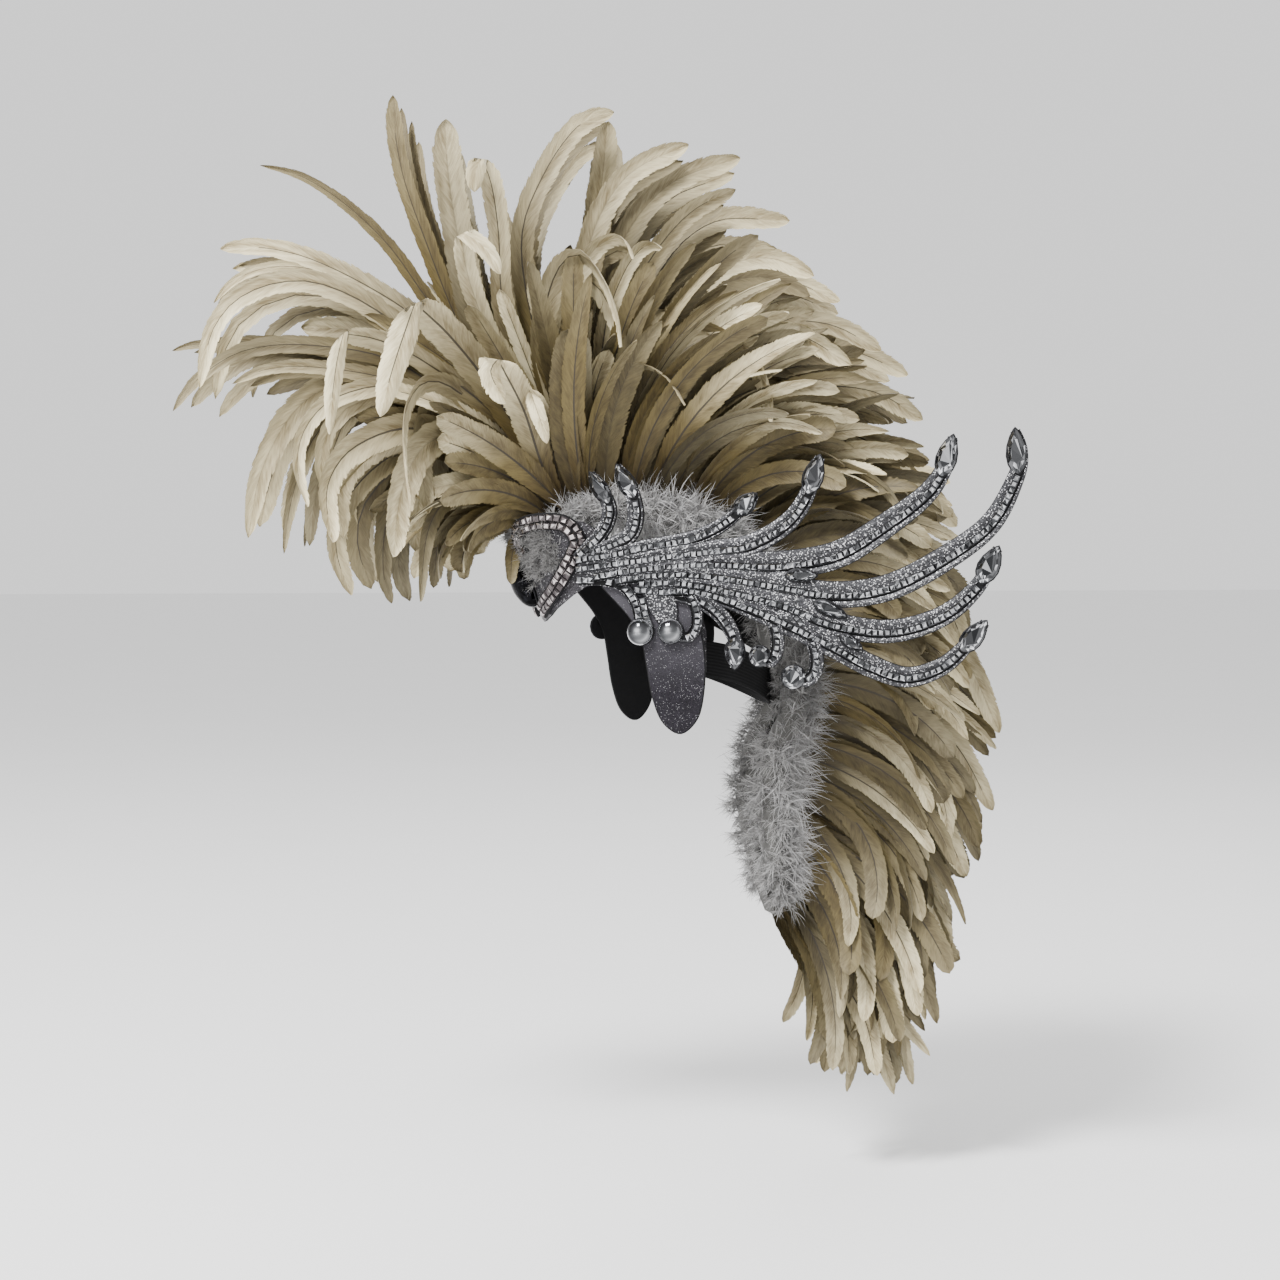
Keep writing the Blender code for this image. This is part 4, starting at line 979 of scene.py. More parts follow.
def feather_line(root, heading, bend, fan, length, droop=0.0, count=12):
    """A feather's middle line, curving in its own plane as in the solids, and the way its vane spreads."""
    point = Vector(root)
    line = [point.copy()]
    for i in range(count):
        share = (i + 0.5) / count
        turn = math.radians(heading + bend * share ** BEND_POWER)
        side = math.radians(fan * (1.0 - 0.35 * share))
        way = Vector((math.sin(side), math.cos(side) * math.cos(turn), math.cos(side) * math.sin(turn)))
        way.z -= droop * share ** 2
        point = point + way.normalized() * (length / count)
        line.append(point.copy())
    first = math.radians(heading)
    return line, Vector((0.0, -math.sin(first), math.cos(first)))


def quill_pad(pile, first, last):
    """The pad that a plume's quills are sewn to, on top of the strip."""
    stations = max(4, round((last - first) * 90))
    rings = []
    for i in range(stations + 1):
        middle, normal, _ = strip_at(first + (last - first) * i / stations)
        low = middle + normal * (STRIP_WALL / 2 + GAP)
        side = Vector((PAD_WIDTH / 2, 0.0, 0.0))
        arch = [(math.cos(math.pi * k / 6), math.sin(math.pi * k / 6)) for k in range(7)]
        rings.append([low + side * c + normal * (PAD_DEPTH * s) for c, s in reversed(arch)])
    add_bar(pile, rings, 1)


def add_bar(pile, rings, finish, tint=None):
    """Adds a copy of a bar, bent so that each of its stations is a ring of points that runs anticlockwise
    seen from the bar's end. The finish is one for all, or one for each side with the ends' one last."""
    station, corner, faces, sides = bar_blank(len(rings[0]), len(rings) - 1)
    points = [tuple(rings[s][c]) for s, c in zip(station, corner)]
    finishes = finish if isinstance(finish, int) else [finish[side] for side in sides]
    pile.add(points, faces, None, tint, finishes)


def quill_root(share, aside):
    """Where a feather leaves its pad, so far to the wearer's left."""
    middle, normal, _ = strip_at(share)
    return middle + normal * (STRIP_WALL / 2 + GAP + PAD_DEPTH * 0.6) + Vector((aside, 0.0, 0.0))


def show_feather(press, pile, row, rng):
    """Adds one of the feathers that are placed one by one."""
    share, root_aside, tip_aside, width, taper, own, greyness_and_shade, points, tip = row
    line = [quill_root(share, root_aside / 1000)]
    for k, (column, line_row) in enumerate(points):
        out = root_aside + (tip_aside - root_aside) * ((k + 1) / len(points)) ** 1.2
        line.append(from_picture(column, line_row, out / 1000))
    stretches = [spaced(line, 26)]
    if tip:
        fold = stretches[0][-1]
        folded = [fold + Vector((FOLD_GAP * 0.4, 0.0, 0.0))]
        folded += [from_picture(column, line_row, fold.x + FOLD_GAP) for column, line_row in tip]
        stretches.append(spaced(folded, 10))
    way = (line[1] - line[0]).normalized()
    aside = Vector((1.0, 0.0, 0.0)).cross(way)
    twist = (rng.normal() * 0.1, rng.normal() * 0.2)
    press.add(pile, stretches, aside, width * 1.2 / 1000, rng, twist, taper * 0.8, own, greyness_and_shade)


def companion(row, k, rng):
    """A feather like one of the placed ones, deeper in the crest or on its other side."""
    share, _, tip_aside, width, _, own, greyness_and_shade, points, _ = row
    steps = len(points)
    away = (k + 1) * (130 + tip_aside) / COMPANION_STEPS * (0.7 + 0.5 * rng.random())
    aside = max(COMPANION_FURTHEST, tip_aside - away)
    drift = rng.normal(size=2) * COMPANION_DRIFT
    shrink = 1.0 - (tip_aside - aside) * 0.0008 - rng.random() * 0.05
    base = ORIGIN_PIXEL[0] - 60 if share < 0.3 else ORIGIN_PIXEL[0] + 60
    level = ORIGIN_PIXEL[1] - 120 if share < 0.5 else points[0][1]
    moved = tuple((base + (c - base) * shrink + drift[0] * (i + 1) / steps,
                   level + (r - level) * shrink + drift[1] * (i + 1) / steps)
                  for i, (c, r) in enumerate(points))
    root_aside = max(-9.0, min(9.0, aside / 8))
    # A companion stands deeper in the crest, so it is made greyer and darker as painted shade
    return (share + rng.normal() * 0.002, root_aside, aside, width * (0.85 + 0.3 * rng.random()),
            0.2 + 0.6 * rng.random(), own * rng.random(), min(1.0, greyness_and_shade + 0.25), moved, ())


def crest_group(press, fine_press, group, seed):
    """One plume's feathers on their pad. The fine press is for the feathers that are placed one by one."""
    piece, node, first, last, count, shorter, greyness_and_shade, companions = group
    rng = np.random.default_rng(seed)
    size = sizes()
    pile = Pile()
    quill_pad(pile, first, last)
    jitter = math.degrees(size.feather_jitter)
    for k in range(count):
        share = first + (last - first) * (k + rng.random()) / count
        heading, bend, reach = (between(PLUMES, share, column) for column in (1, 2, 3))
        opening = between(FAN_OPENING, share, 1)
        fan = WIDEST_FAN * (((k * FAN_STEP) % 1.0) * 2.0 - 1.0)
        outer = abs(fan) / WIDEST_FAN
        root = quill_root(share, ROOT_ROW_SPREAD * fan / WIDEST_FAN)
        length = LONGEST_FEATHER * reach * (1.0 - OUTER_SHORTER * outer) * shorter
        length *= 0.70 + 0.32 * rng.random()
        line, aside = feather_line(root, heading + rng.normal() * jitter, bend + rng.normal() * jitter * 3.0,
                                   fan * opening + rng.normal() * 3.0, length, 0.10 * rng.random())
        twist = (rng.normal() * 0.3, rng.normal() * 0.6)
        press.add(pile, [line], aside, size.feather_width * (0.75 + 0.5 * rng.random()), rng, twist,
                  rng.random() * 0.9, rng.random() ** 2.5, min(1.0, max(0.0, greyness_and_shade + rng.normal() * 0.3)))
    for row in SHOW_FEATHERS:
        if first - 0.002 <= row[0] <= last + 0.002:
            show_feather(fine_press, pile, row, rng)
            for k in range(companions if row[4] < 0.95 else 0):
                show_feather(press, pile, companion(row, k, rng), rng)
    return settle(pile.piece(piece, ("feather", "felt")), "champagne_feather", node)


def from_picture(column, row, aside):
    """The point, so far to the wearer's left, that shows at a pixel of the picture."""
    azimuth = math.radians(CAMERA_AZIMUTH)
    scale = PICTURE_SPAN / PICTURE_SIZE
    nearer = aside * math.sin(azimuth) / CAMERA_DISTANCE
    right = (column - ORIGIN_PIXEL[0]) * scale * (1.0 - nearer)
    up = (ORIGIN_PIXEL[1] - row) * scale * (1.0 - nearer)
    depth = (right - aside * math.cos(azimuth)) / math.sin(azimuth)
    return Vector((aside, depth, up))


def add_strand(points, faces, base, way, length, width, sag, rng):
    """Adds one strand of down: a narrow ribbon that tapers to its tip."""
    start = len(points)
    side = way.cross(Vector(rng.normal(size=3))).normalized() * width / 2
    bend = Vector(rng.normal(size=3)) * length * 0.22
    for share in (0.0, 0.45, 0.8):
        middle = base + way * (length * share) + bend * share ** 2 - Vector((0, 0, sag * share ** 2))
        points.append(middle - side * (1.0 - share * 0.7))
        points.append(middle + side * (1.0 - share * 0.7))
    points.append(base + way * length + bend - Vector((0, 0, sag)))
    faces.append((start, start + 1, start + 3, start + 2))
    faces.append((start + 2, start + 3, start + 5, start + 4))
    faces.append((start + 4, start + 5, start + 6))


def down_roll(name, sign, node, seed):
    """A roll of marabou beside the strip: a core cord with strands of down that stand out in tufts."""
    rng = np.random.default_rng(seed)
    pile = Pile()
    first, last = DOWN_SECTIONS[0][0], DOWN_SECTIONS[-1][0]
    rings, spots = [], []
    steps = DOWN_STATIONS
    for i in range(steps + 1):
        share = first + (last - first) * i / steps
        middle, normal, heading = strip_at(share)
        radius, stand, reach = (between(DOWN_SECTIONS, share, column) for column in (1, 2, 3))
        out = Vector((sign, 0.0, 0.0))
        centre = middle + normal * (stand + 0.003) + out * (STRIP_WIDTH / 2 + radius + 0.002)
        ring = []
        for k in range(CORE_CORNERS):
            turn = math.tau * k / CORE_CORNERS
            bulge = radius * (0.9 + 0.2 * rng.random())
            ring.append(centre + (normal * math.sin(turn) + out * math.cos(turn)) * bulge)
        rings.append(ring if sign < 0 else ring[::-1])
        spots.append((centre, normal, heading, out, radius, reach))
    add_bar(pile, rings, 0, (DOWN_CORE_SHADE, 0.0, 0.0))
    points, faces, tints = [], [], []
    tufts = sizes().down_strands // TUFT_STRANDS
    for tuft in range(tufts):
        place_in = rng.random() * steps
        centre, normal, heading, out, radius, reach = spots[int(place_in)]
        # Painted shade: the down is darker where the table's lightness is low, most behind the neck
        light = between(DOWN_SECTIONS, first + (last - first) * place_in / steps, 4)
        centre = centre + heading * (rng.random() - 0.5) * 0.012
        low = min(1.0, max(0.0, (place_in / steps - 0.55) * 6.0))
        turn = rng.normal() * (1.15 + 0.5 * low) + 0.9 - 0.8 * low
        if tuft % 3 == 0:
            turn = rng.random() * math.tau
        stem = (normal * math.sin(turn) + out * math.cos(turn) + heading * rng.normal() * 0.45).normalized()
        neckward = max(0.0, -math.sin(turn))
        base = centre + stem * radius * (0.5 + 0.45 * neckward)
        tall = reach * (0.55 + 0.55 * rng.random()) * (1.0 - DOWN_NECK_TRIM * neckward)
        shade = rng.random()
        for _ in range(TUFT_STRANDS):
            spot = rng.random()
            way = (stem + Vector(rng.normal(size=3)) * 0.55).normalized()
            start = len(points)
            add_strand(points, faces, base + stem * (tall * spot * 0.6), way,
                       tall * (0.35 + 0.45 * rng.random()), STRAND_WIDTH, tall * 0.12, rng)
            # Painted shade: strands that start deeper in a tuft are darker, and each strand darkens towards
            # its root
            tone = (0.45 + 0.55 * spot) * light
            tints.extend([(tone * (0.55 + 0.45 * (j / 6)), shade, 0.0) for j in range(len(points) - start)])
    pile.add(kept_off_strap(np.array([tuple(p) for p in points])), faces, None, np.array(tints), 0)
    return settle(pile.piece(name, ("down",)), "white_marabou", node)


def kept_off_strap(points):
    """Strand points with the ones inside the strap moved out to lie against it."""
    turn = np.arctan2(points[:, 0] / HEAD_WIDTH, points[:, 1] / HEAD_LENGTH)
    reach = np.hypot(np.sin(turn) * (HEAD_WIDTH / 2 + 0.002), np.cos(turn) * (HEAD_LENGTH / 2 + 0.002))
    now = np.hypot(points[:, 0], points[:, 1])
    low, high = STRAP_DOWN
    inside = (points[:, 2] > low) & (points[:, 2] < high) & (now < reach)
    points[:, :2] *= np.where(inside, reach / np.maximum(now, 0.001), 1.0)[:, None]
    return points


def front_down(name, seed):
    """The down that fills the heart of the front scrolls and stands up behind them."""
    rng = np.random.default_rng(seed)
    points, faces, tints = [], [], []
    pile = Pile()
    for _ in range(FRONT_TUFTS):
        angle = (rng.random() * 2 - 1) * FRONT_DOWN_ANGLE
        share = abs(angle) / FRONT_DOWN_ANGLE
        up = BAND_RISE * (0.40 + 0.22 * share + rng.random() * (0.52 - 0.18 * share))
        base = wall_point(angle, up, BAND_WALL)
        normal = wall_normal(angle, up)
        stem = (normal * 0.7 + Vector((0, 0, 0.6)) + Vector(rng.normal(size=3)) * 0.3).normalized()
        tall = 0.007 + 0.005 * rng.random()
        shade = rng.random() * 0.5
        for _ in range(FRONT_TUFT_STRANDS):
            way = (stem + Vector(rng.normal(size=3)) * 0.7).normalized()
            start = len(points)
            add_strand(points, faces, base + stem * tall * rng.random() * 0.3, way,
                       tall * (0.4 + 0.5 * rng.random()), FRONT_STRAND_WIDTH, tall * 0.1, rng)
            # Painted shade: the heart's down is painted dark, darker at each strand's root, as the shade
            # under the feathers
            tints.extend([(0.06 + 0.24 * (j / 6), shade, 0.0) for j in range(len(points) - start)])
    pile.add([tuple(p) for p in points], faces, None, np.array(tints), 0)
    return settle(pile.piece(name, ("down",)), "white_marabou")


def wing_matrix(sign):
    """The plate's frame: X back, Y up and Z outwards, from the middle of its inner face."""
    flare = math.radians(WING_FLARE)
    outward = Vector((math.cos(flare), -math.sin(flare), 0.0))
    back = Vector((math.sin(flare), math.cos(flare), 0.0))
    reach_x = HEAD_WIDTH / 2 + BAND_WALL
    reach_y = HEAD_LENGTH / 2 + BAND_WALL
    round_support = math.hypot(reach_x * outward.x, reach_y * outward.y)
    touch = Vector((reach_x ** 2 * outward.x / round_support, reach_y ** 2 * outward.y / round_support, 0.0))
    support = max(wall_point(angle, BAND_RISE * rise, BAND_WALL).dot(outward)
                  for angle in range(0, 100, 4) for rise in (0.3, 0.9))
    origin = touch + outward * (support - round_support + GAP + FLAP_WALL + GAP)
    turn = Matrix((back, Vector((0.0, 0.0, 1.0)), outward)).transposed().to_4x4()
    placed = Matrix.Translation(origin) @ turn
    return placed if sign > 0 else Matrix.Scale(-1, 4, (1, 0, 0)) @ placed


def on_wing(points):
    """Points in the plate's plane from shares of its reach and rise."""
    return [Vector((u * WING_REACH, v * WING_RISE, 0.0)) for u, v in points]


def width_at(widths, share):
    """A frond's width, from the ones at its root, middle and tip."""
    root, middle, tip = widths
    if share < 0.5:
        return root + (middle - root) * math.sin(math.pi * share)
    return tip + (middle - tip) * math.cos(math.pi / 2 * (share * 2 - 1)) ** 0.7


ROW_HALF = 0.0023
ROW_LINE = 0.0019
EDGE_RIM = 0.0005
EDGE_DROP = 0.0010
CURL_CORNERS = 24
GLITTER, BLACK = 0, 1


def frond_section(half, lift, plain):
    """The corners across a frond, each with the finish of the side that follows it."""
    top = PLATE_WALL + lift
    puff = top + min(0.0012, half * 0.14)
    edge = [(-half, 0.0, BLACK), (-half, top - EDGE_DROP, BLACK), (-half + EDGE_RIM, top, GLITTER)]
    far_edge = [(half - EDGE_RIM, top, BLACK), (half, top - EDGE_DROP, BLACK), (half, 0.0, BLACK)]
    if plain:
        return edge + [(half * x, puff, GLITTER) for x in (-0.5, 0.0, 0.5)] + far_edge
    row = min(ROW_HALF, half * 0.55)
    middle = row_middle(half)
    low, high = middle - row - ROW_LINE, middle + row
    low_puff, high_puff = (low - half) / 2, (high + half) / 2
    return edge + [(low_puff, puff, GLITTER), (low, top, BLACK), (low + 0.0002, top - 0.0012, BLACK),
                   (high, top - 0.0008, BLACK), (high + 0.0002, top, GLITTER),
                   (high_puff, puff, GLITTER)] + far_edge


def row_middle(half):
    """How far a row of stones stands off its frond's middle."""
    return -max(0.0, half - 0.0045) * 0.22


def half_at(widths, share):
    """Half a frond's or a curl's width at a share of its length."""
    return (width_at(widths, share) if isinstance(widths, tuple) else widths) / 2


def add_frond(pile, path, widths, lift, matrix, flip, plain=False):
    """Adds a frond as a strip of puffed foam with black edges and a groove for its stones."""
    line = spaced(on_wing(path), max(10, round(line_length(on_wing(path)) / 0.005)))
    ways = tangents(line)
    last = len(line) - 1
    rings = []
    for i, (point, way) in enumerate(zip(line, ways)):
        side = Vector((-way.y, way.x, 0.0))
        section = frond_section(max(half_at(widths, i / last), 0.0025), lift, plain)
        ring = [matrix @ (point + side * c[0] + Vector((0, 0, c[1]))) for c in section]
        rings.append(ring if flip else ring[::-1])
    finishes = [c[2] for c in section]
    finishes = finishes if flip else finishes[-2::-1] + finishes[-1:]
    add_bar(pile, rings, [*finishes, BLACK])


def wing_plate(side, sign):
    """A wing plate: its leaves, fronds and curls."""
    matrix = wing_matrix(sign)
    pile = Pile()
    flip = sign < 0
    for k, (path, widths) in enumerate(LEAVES):
        add_frond(pile, path, widths, -0.0012 + k * 0.0006, matrix, flip, plain=True)
    for k, (_, path, widths, _) in enumerate(FRONDS):
        add_frond(pile, path, widths, 0.0007 * ((k * 3) % 4) / 3, matrix, flip)
    for k, (_, path, width, radius, _) in enumerate(CURLS):
        add_frond(pile, path, width, 0.0003 + 0.0002 * k, matrix, flip)
        seat = on_wing(path)[-1]
        rings = []
        wide = radius * 1.08
        for z, r in ((0.0, wide), (PLATE_WALL - 0.0005, wide), (PLATE_WALL + 0.0002, radius)):
            turns = [math.tau * j / CURL_CORNERS for j in range(CURL_CORNERS)]
            ring = [matrix @ (seat + Vector((math.cos(turn) * r, math.sin(turn) * r, z))) for turn in turns]
            rings.append(ring[::-1] if flip else ring)
        add_bar(pile, rings, BLACK)
    piece = pile.piece(f"glitter_wing_{side}", ("glitter", "black_foam"), smooth=False)
    return settle(piece, "glitter_foam", f"wing_plate_{side}")


def cut_stone(sides, tiers, name):
    """Models a cut stone by extruding and narrowing a disc, with its facets in triangles. It lies along X."""
    deselect()
    bpy.ops.mesh.primitive_circle_add(vertices=sides, radius=1.0, fill_type="NGON")
    stone = bpy.context.object
    stone.name = name
    bpy.ops.object.mode_set(mode="EDIT")
    bpy.ops.mesh.select_all(action="SELECT")
    for rise, narrow in tiers:
        bpy.ops.mesh.extrude_region_move(TRANSFORM_OT_translate={"value": (0.0, 0.0, rise)})
        bpy.ops.transform.resize(value=(narrow, narrow, 1.0), center_override=(0.0, 0.0, 0.0))
    bpy.ops.mesh.select_all(action="SELECT")
    bpy.ops.mesh.normals_make_consistent(inside=False)
    bpy.ops.mesh.quads_convert_to_tris(quad_method="SHORTEST_DIAGONAL")
    bpy.ops.object.mode_set(mode="OBJECT")
    return taken_apart(stone)


# Each row: how far the next tier of a domed stone rises, and how much it narrows
DOME_TIERS = (
    (0.22, 1.0), (0.10, 0.96), (0.14, 0.94), (0.15, 0.89), (0.13, 0.84), (0.10, 0.77), (0.08, 0.70),
    (0.05, 0.58), (0.02, 0.20),
)


class StoneTray:
    """The cut stones that the settings are filled from, and the piece that they are gathered in."""

    def __init__(self):
        self.square = cut_stone(4, ((0.35, 1.0), (0.35, 0.62)), "square_stone")
        self.brilliant = cut_stone(16, ((0.18, 1.0), (0.30, 0.80), (0.26, 0.74)), "round_stone")
        self.dome = cut_stone(24, DOME_TIERS, "domed_stone")

    def shaped(self, cut, length, width, depth, pointed=0.0):
        """A stone of a cut, at its size. Pointed 1 is a boat with two points, and less is blunter."""
        points, faces = getattr(self, cut)
        made = points.copy()
        if cut == "square":
            turn = math.pi / 4
            x = made[:, 0] * math.cos(turn) - made[:, 1] * math.sin(turn)
            y = made[:, 0] * math.sin(turn) + made[:, 1] * math.cos(turn)
            made[:, 0], made[:, 1] = x * math.sqrt(2), y * math.sqrt(2)
        if pointed:
            ring = np.maximum(np.hypot(made[:, 0], made[:, 1]), 1e-6)
            across = np.abs(made[:, 1] / ring)
            made[:, 1] = made[:, 1] * across ** (pointed * 0.6)
            made[:, 0] = made[:, 0] - 0.16 * pointed * across ** 2 * ring
        return made * np.array((length / 2, width / 2, depth)), faces


def add_stone(pile, shape, matrix, rng, flip, finish=0, dark=0.5, table=None):
    """Adds a stone whose facets are loose triangles, each painted with a bright or dark reflection of its
    own. Dark is how many facets are painted dark, and table how many of the top ones."""
    points, faces = shape
    world = np.array([tuple(matrix @ Vector(p)) for p in points])
    top = points[:, 2].max() - 1e-6
    for face in faces:
        corner = face[::-1] if flip else face
        value = rng.random()
        flat = table is not None and all(points[i, 2] > top for i in face)
        value = value * 0.16 if rng.random() < (table if flat else dark) else 0.40 + value * 0.60
        pile.add(world[list(corner)], [tuple(range(len(corner)))], None, (value, 0.0, 0.0), finish)


# Each row: share of a dome's radius, how bright its painted reflection is there
DOME_REFLECTIONS = ((0.0, 0.15), (0.35, 0.11), (0.62, 0.04), (0.80, 0.01), (0.90, 0.06), (0.95, 0.70), (1.0, 0.95))


def add_dome(pile, shape, matrix, flip):
    """Adds a domed stone with painted reflections: dark glass in a bright rim, with a painted highlight off
    its middle and a bright crescent.
    """
    points, faces = shape
    world = np.array([tuple(matrix @ Vector(p)) for p in points])
    flat = points[:, :2] / np.abs(points[:, :2]).max()
    reach = np.hypot(flat[:, 0], flat[:, 1])
    spot = np.hypot(flat[:, 0] + 0.16, flat[:, 1] - 0.14)
    crescent = np.exp(-((reach - 0.66) / 0.16) ** 2) * np.clip(flat[:, 0] - flat[:, 1], 0.0, 1.0) ** 1.5
    shade = np.interp(reach, [row[0] for row in DOME_REFLECTIONS], [row[1] for row in DOME_REFLECTIONS])
    # Painted highlight off the middle, and a painted bright crescent of reflected light
    shade = shade + 1.2 * np.exp(-(spot / 0.20) ** 2) + 0.45 * crescent
    tints = np.stack([np.clip(shade, 0.0, 1.0), shade * 0.0, shade * 0.0], axis=1)
    pile.add(world, [face[::-1] for face in faces] if flip else faces, None, tints, 0)


def gem_piece(pile, name, finishes, slot, *nodes):
    """Turns a pile of facets into a piece whose tint feeds the stones' finish."""
    piece = pile.piece(name, finishes, smooth=False)
    piece.data.attributes["tint"].name = "facet_vector"
    values = np.concatenate(pile.tints)[:, 0]
    facet = piece.data.attributes.new("facet", "FLOAT", "POINT")
    facet.data.foreach_set("value", np.ascontiguousarray(values))
    return settle(piece, slot, *nodes)


def row_spots(path, widths, stop, pitch):
    """Where a row's stones go: places and ways along a path, up to so far from its end."""
    line = spaced(on_wing(path), 240)
    whole = line_length(line)
    count = int((whole - stop) / pitch)
    spots = []
    ways = tangents(line)
    for k in range(count + 1):
        at = (0.0006 + k * pitch) / whole * (len(line) - 1)
        low = min(int(at), len(line) - 2)
        way = ways[low]
        side = Vector((-way.y, way.x, 0.0)) * row_middle(half_at(widths, at / (len(line) - 1)))
        spots.append((line[low].lerp(line[low + 1], at - low) + side, way))
    return spots


def wing_rows(tray, side, sign):
    """The rows of small square stones on one wing, each in its cup."""
    rng = np.random.default_rng(41)
    size = sizes()
    matrix = wing_matrix(sign)
    pile = Pile()
    taken = []
    stone = tray.shaped("square", size.stone_size, size.stone_size, SMALL_STONE_DEPTH)
    cup = tray.shaped("square", size.stone_size * 1.22, size.stone_size * 1.22, SMALL_CUP_DEPTH)
    rows = [(path, widths, stone_size[0] + 0.002) for _, path, widths, stone_size in FRONDS]
    rows += [(path, width, radius + 0.003) for _, path, width, radius, _ in CURLS]
    rows.append((LEAF_ROW, LEAF_ROW_WIDTH, 0.0))
    for index in ROW_ORDER:
        for spot, way in row_spots(*rows[index], size.stone_pitch):
            if any((spot - other).length < size.stone_pitch * 0.95 for other in taken):
                continue
            taken.append(spot)
            turn = Matrix.Rotation(math.atan2(way.y, way.x), 4, "Z")
            seat = matrix @ Matrix.Translation(spot + Vector((0, 0, PLATE_WALL + 0.0004))) @ turn
            add_stone(pile, cup, seat, rng, sign < 0, 1)
            add_stone(pile, stone, seat @ Matrix.Translation((0, 0, 0.0003)), rng, sign < 0, 0, 0.75, 0.30)
    return gem_piece(pile, f"small_stones_{side}", ("crystal", "setting"), "crystal", f"stone_rows_{side}")


def wing_gems(tray, side, sign):
    """The stones at the tips, the curls' ends and the forks of one wing, in their settings."""
    rng = np.random.default_rng(43)
    matrix = wing_matrix(sign)
    seat = PLATE_WALL + GAP

    def set_stone(name, shape, cup, spot, turn, domed=False, lift=0.0, dark=0.78):
        pile = Pile()
        placed = matrix @ Matrix.Translation((spot.x, spot.y, seat + lift)) @ Matrix.Rotation(turn, 4, "Z")
        add_stone(pile, cup, placed @ Matrix.Translation((0, 0, -0.0008)), rng, sign < 0, 1)
        if domed:
            add_dome(pile, shape, placed, sign < 0)
        else:
            add_stone(pile, shape, placed, rng, sign < 0, 0, dark)
        gem_piece(pile, f"{name}_gem_{side}", ("crystal", "setting"), "crystal", f"{name}_stone_{side}")
    for name, path, _, (length, width) in FRONDS:
        line = spaced(on_wing(path), 60)
        tip = line[-1]
        reach = next(p for p in reversed(line) if (p - tip).length > length * 0.8)
        way = (tip - reach).normalized()
        set_stone(name, tray.shaped("brilliant", length, width, 0.0066, 1.0),
                  tray.shaped("brilliant", length * 1.10, width * 1.12, 0.0026, 1.0),
                  tip - way * (length * 0.46), math.atan2(way.y, way.x))
    for name, path, _, radius, domed in CURLS:
        end = on_wing(path)[-1]
        cut = "dome" if domed else "brilliant"
        deep = 0.0072 if domed else 0.0062
        set_stone(name, tray.shaped(cut, radius * 2, radius * 2, deep),
                  tray.shaped("brilliant", radius * 2.14, radius * 2.14, 0.0026), end, 0.0, domed)
    for name, u, v, turn, length, width in FORK_STONES:
        set_stone(name, tray.shaped("brilliant", length * 1.2, width * 1.2, 0.0062, 0.7),
                  tray.shaped("brilliant", length * 1.36, width * 1.5, 0.0032, 0.7), on_wing([(u, v)])[0],
                  math.radians(turn), lift=0.0026, dark=0.86)


def scroll_line():
    """The front scroll's middle line as angles and heights on the band."""
    return spaced([(a * BAND_END_ANGLE, h * BAND_RISE * 1000, 0.0) for a, h in SCROLL_PATH], SCROLL_POINTS)


def front_scroll(tray, side, sign):
    """One half of the front heart: a black-edged strip with two rows of square stones."""
    rng = np.random.default_rng(47)
    path = scroll_line()
    out = BAND_WALL + GAP
    points = [wall_point(p.x * sign, p.y / 1000, out) for p in path]
    normals = [wall_normal(p.x * sign, p.y / 1000) for p in path]
    ways = tangents(points)
    pile = Pile()
    rings = []
    half, low, high, bevel = SCROLL_HALF, SCROLL_LOW, SCROLL_HIGH, SCROLL_BEVEL
    for point, normal, way in zip(points, normals, ways):
        side_way = normal.cross(way).normalized()
        ring = [point + side_way * x + normal * z for x, z in (
            (-half, low), (-half, high - bevel), (-half + bevel, high), (half - bevel, high),
            (half, high - bevel), (half, low))]
        rings.append(ring[::-1])
    add_bar(pile, rings, 2)
    stone = tray.shaped("square", SCROLL_STONE, SCROLL_STONE, SCROLL_STONE_DEPTH)
    for row in (-1, 1):
        line = [point + normal.cross(way).normalized() * (row * SCROLL_ROW_ASIDE) + normal * (high - 0.0004)
                for point, normal, way in zip(points, normals, ways)]
        reached = np.cumsum([0.0] + [(b - a).length for a, b in zip(line, line[1:])])
        count = int(reached[-1] / (SCROLL_STONE * 1.10))
        for k in range(count):
            at = np.interp((k + 0.5) / count * reached[-1], reached, np.arange(len(line)))
            low_point = min(int(at), len(line) - 2)
            normal, way = normals[low_point], ways[low_point]
            turn = Matrix((way, normal.cross(way).normalized(), normal)).transposed().to_4x4()
            spot = line[low_point].lerp(line[low_point + 1], at - low_point)
            add_stone(pile, stone, Matrix.Translation(spot) @ turn, rng, False, 0, 0.78, 0.62)
    return gem_piece(pile, f"scroll_stones_{side}", ("dusk_crystal", "setting", "black_foam"), "crystal",
                     f"front_scroll_{side}")


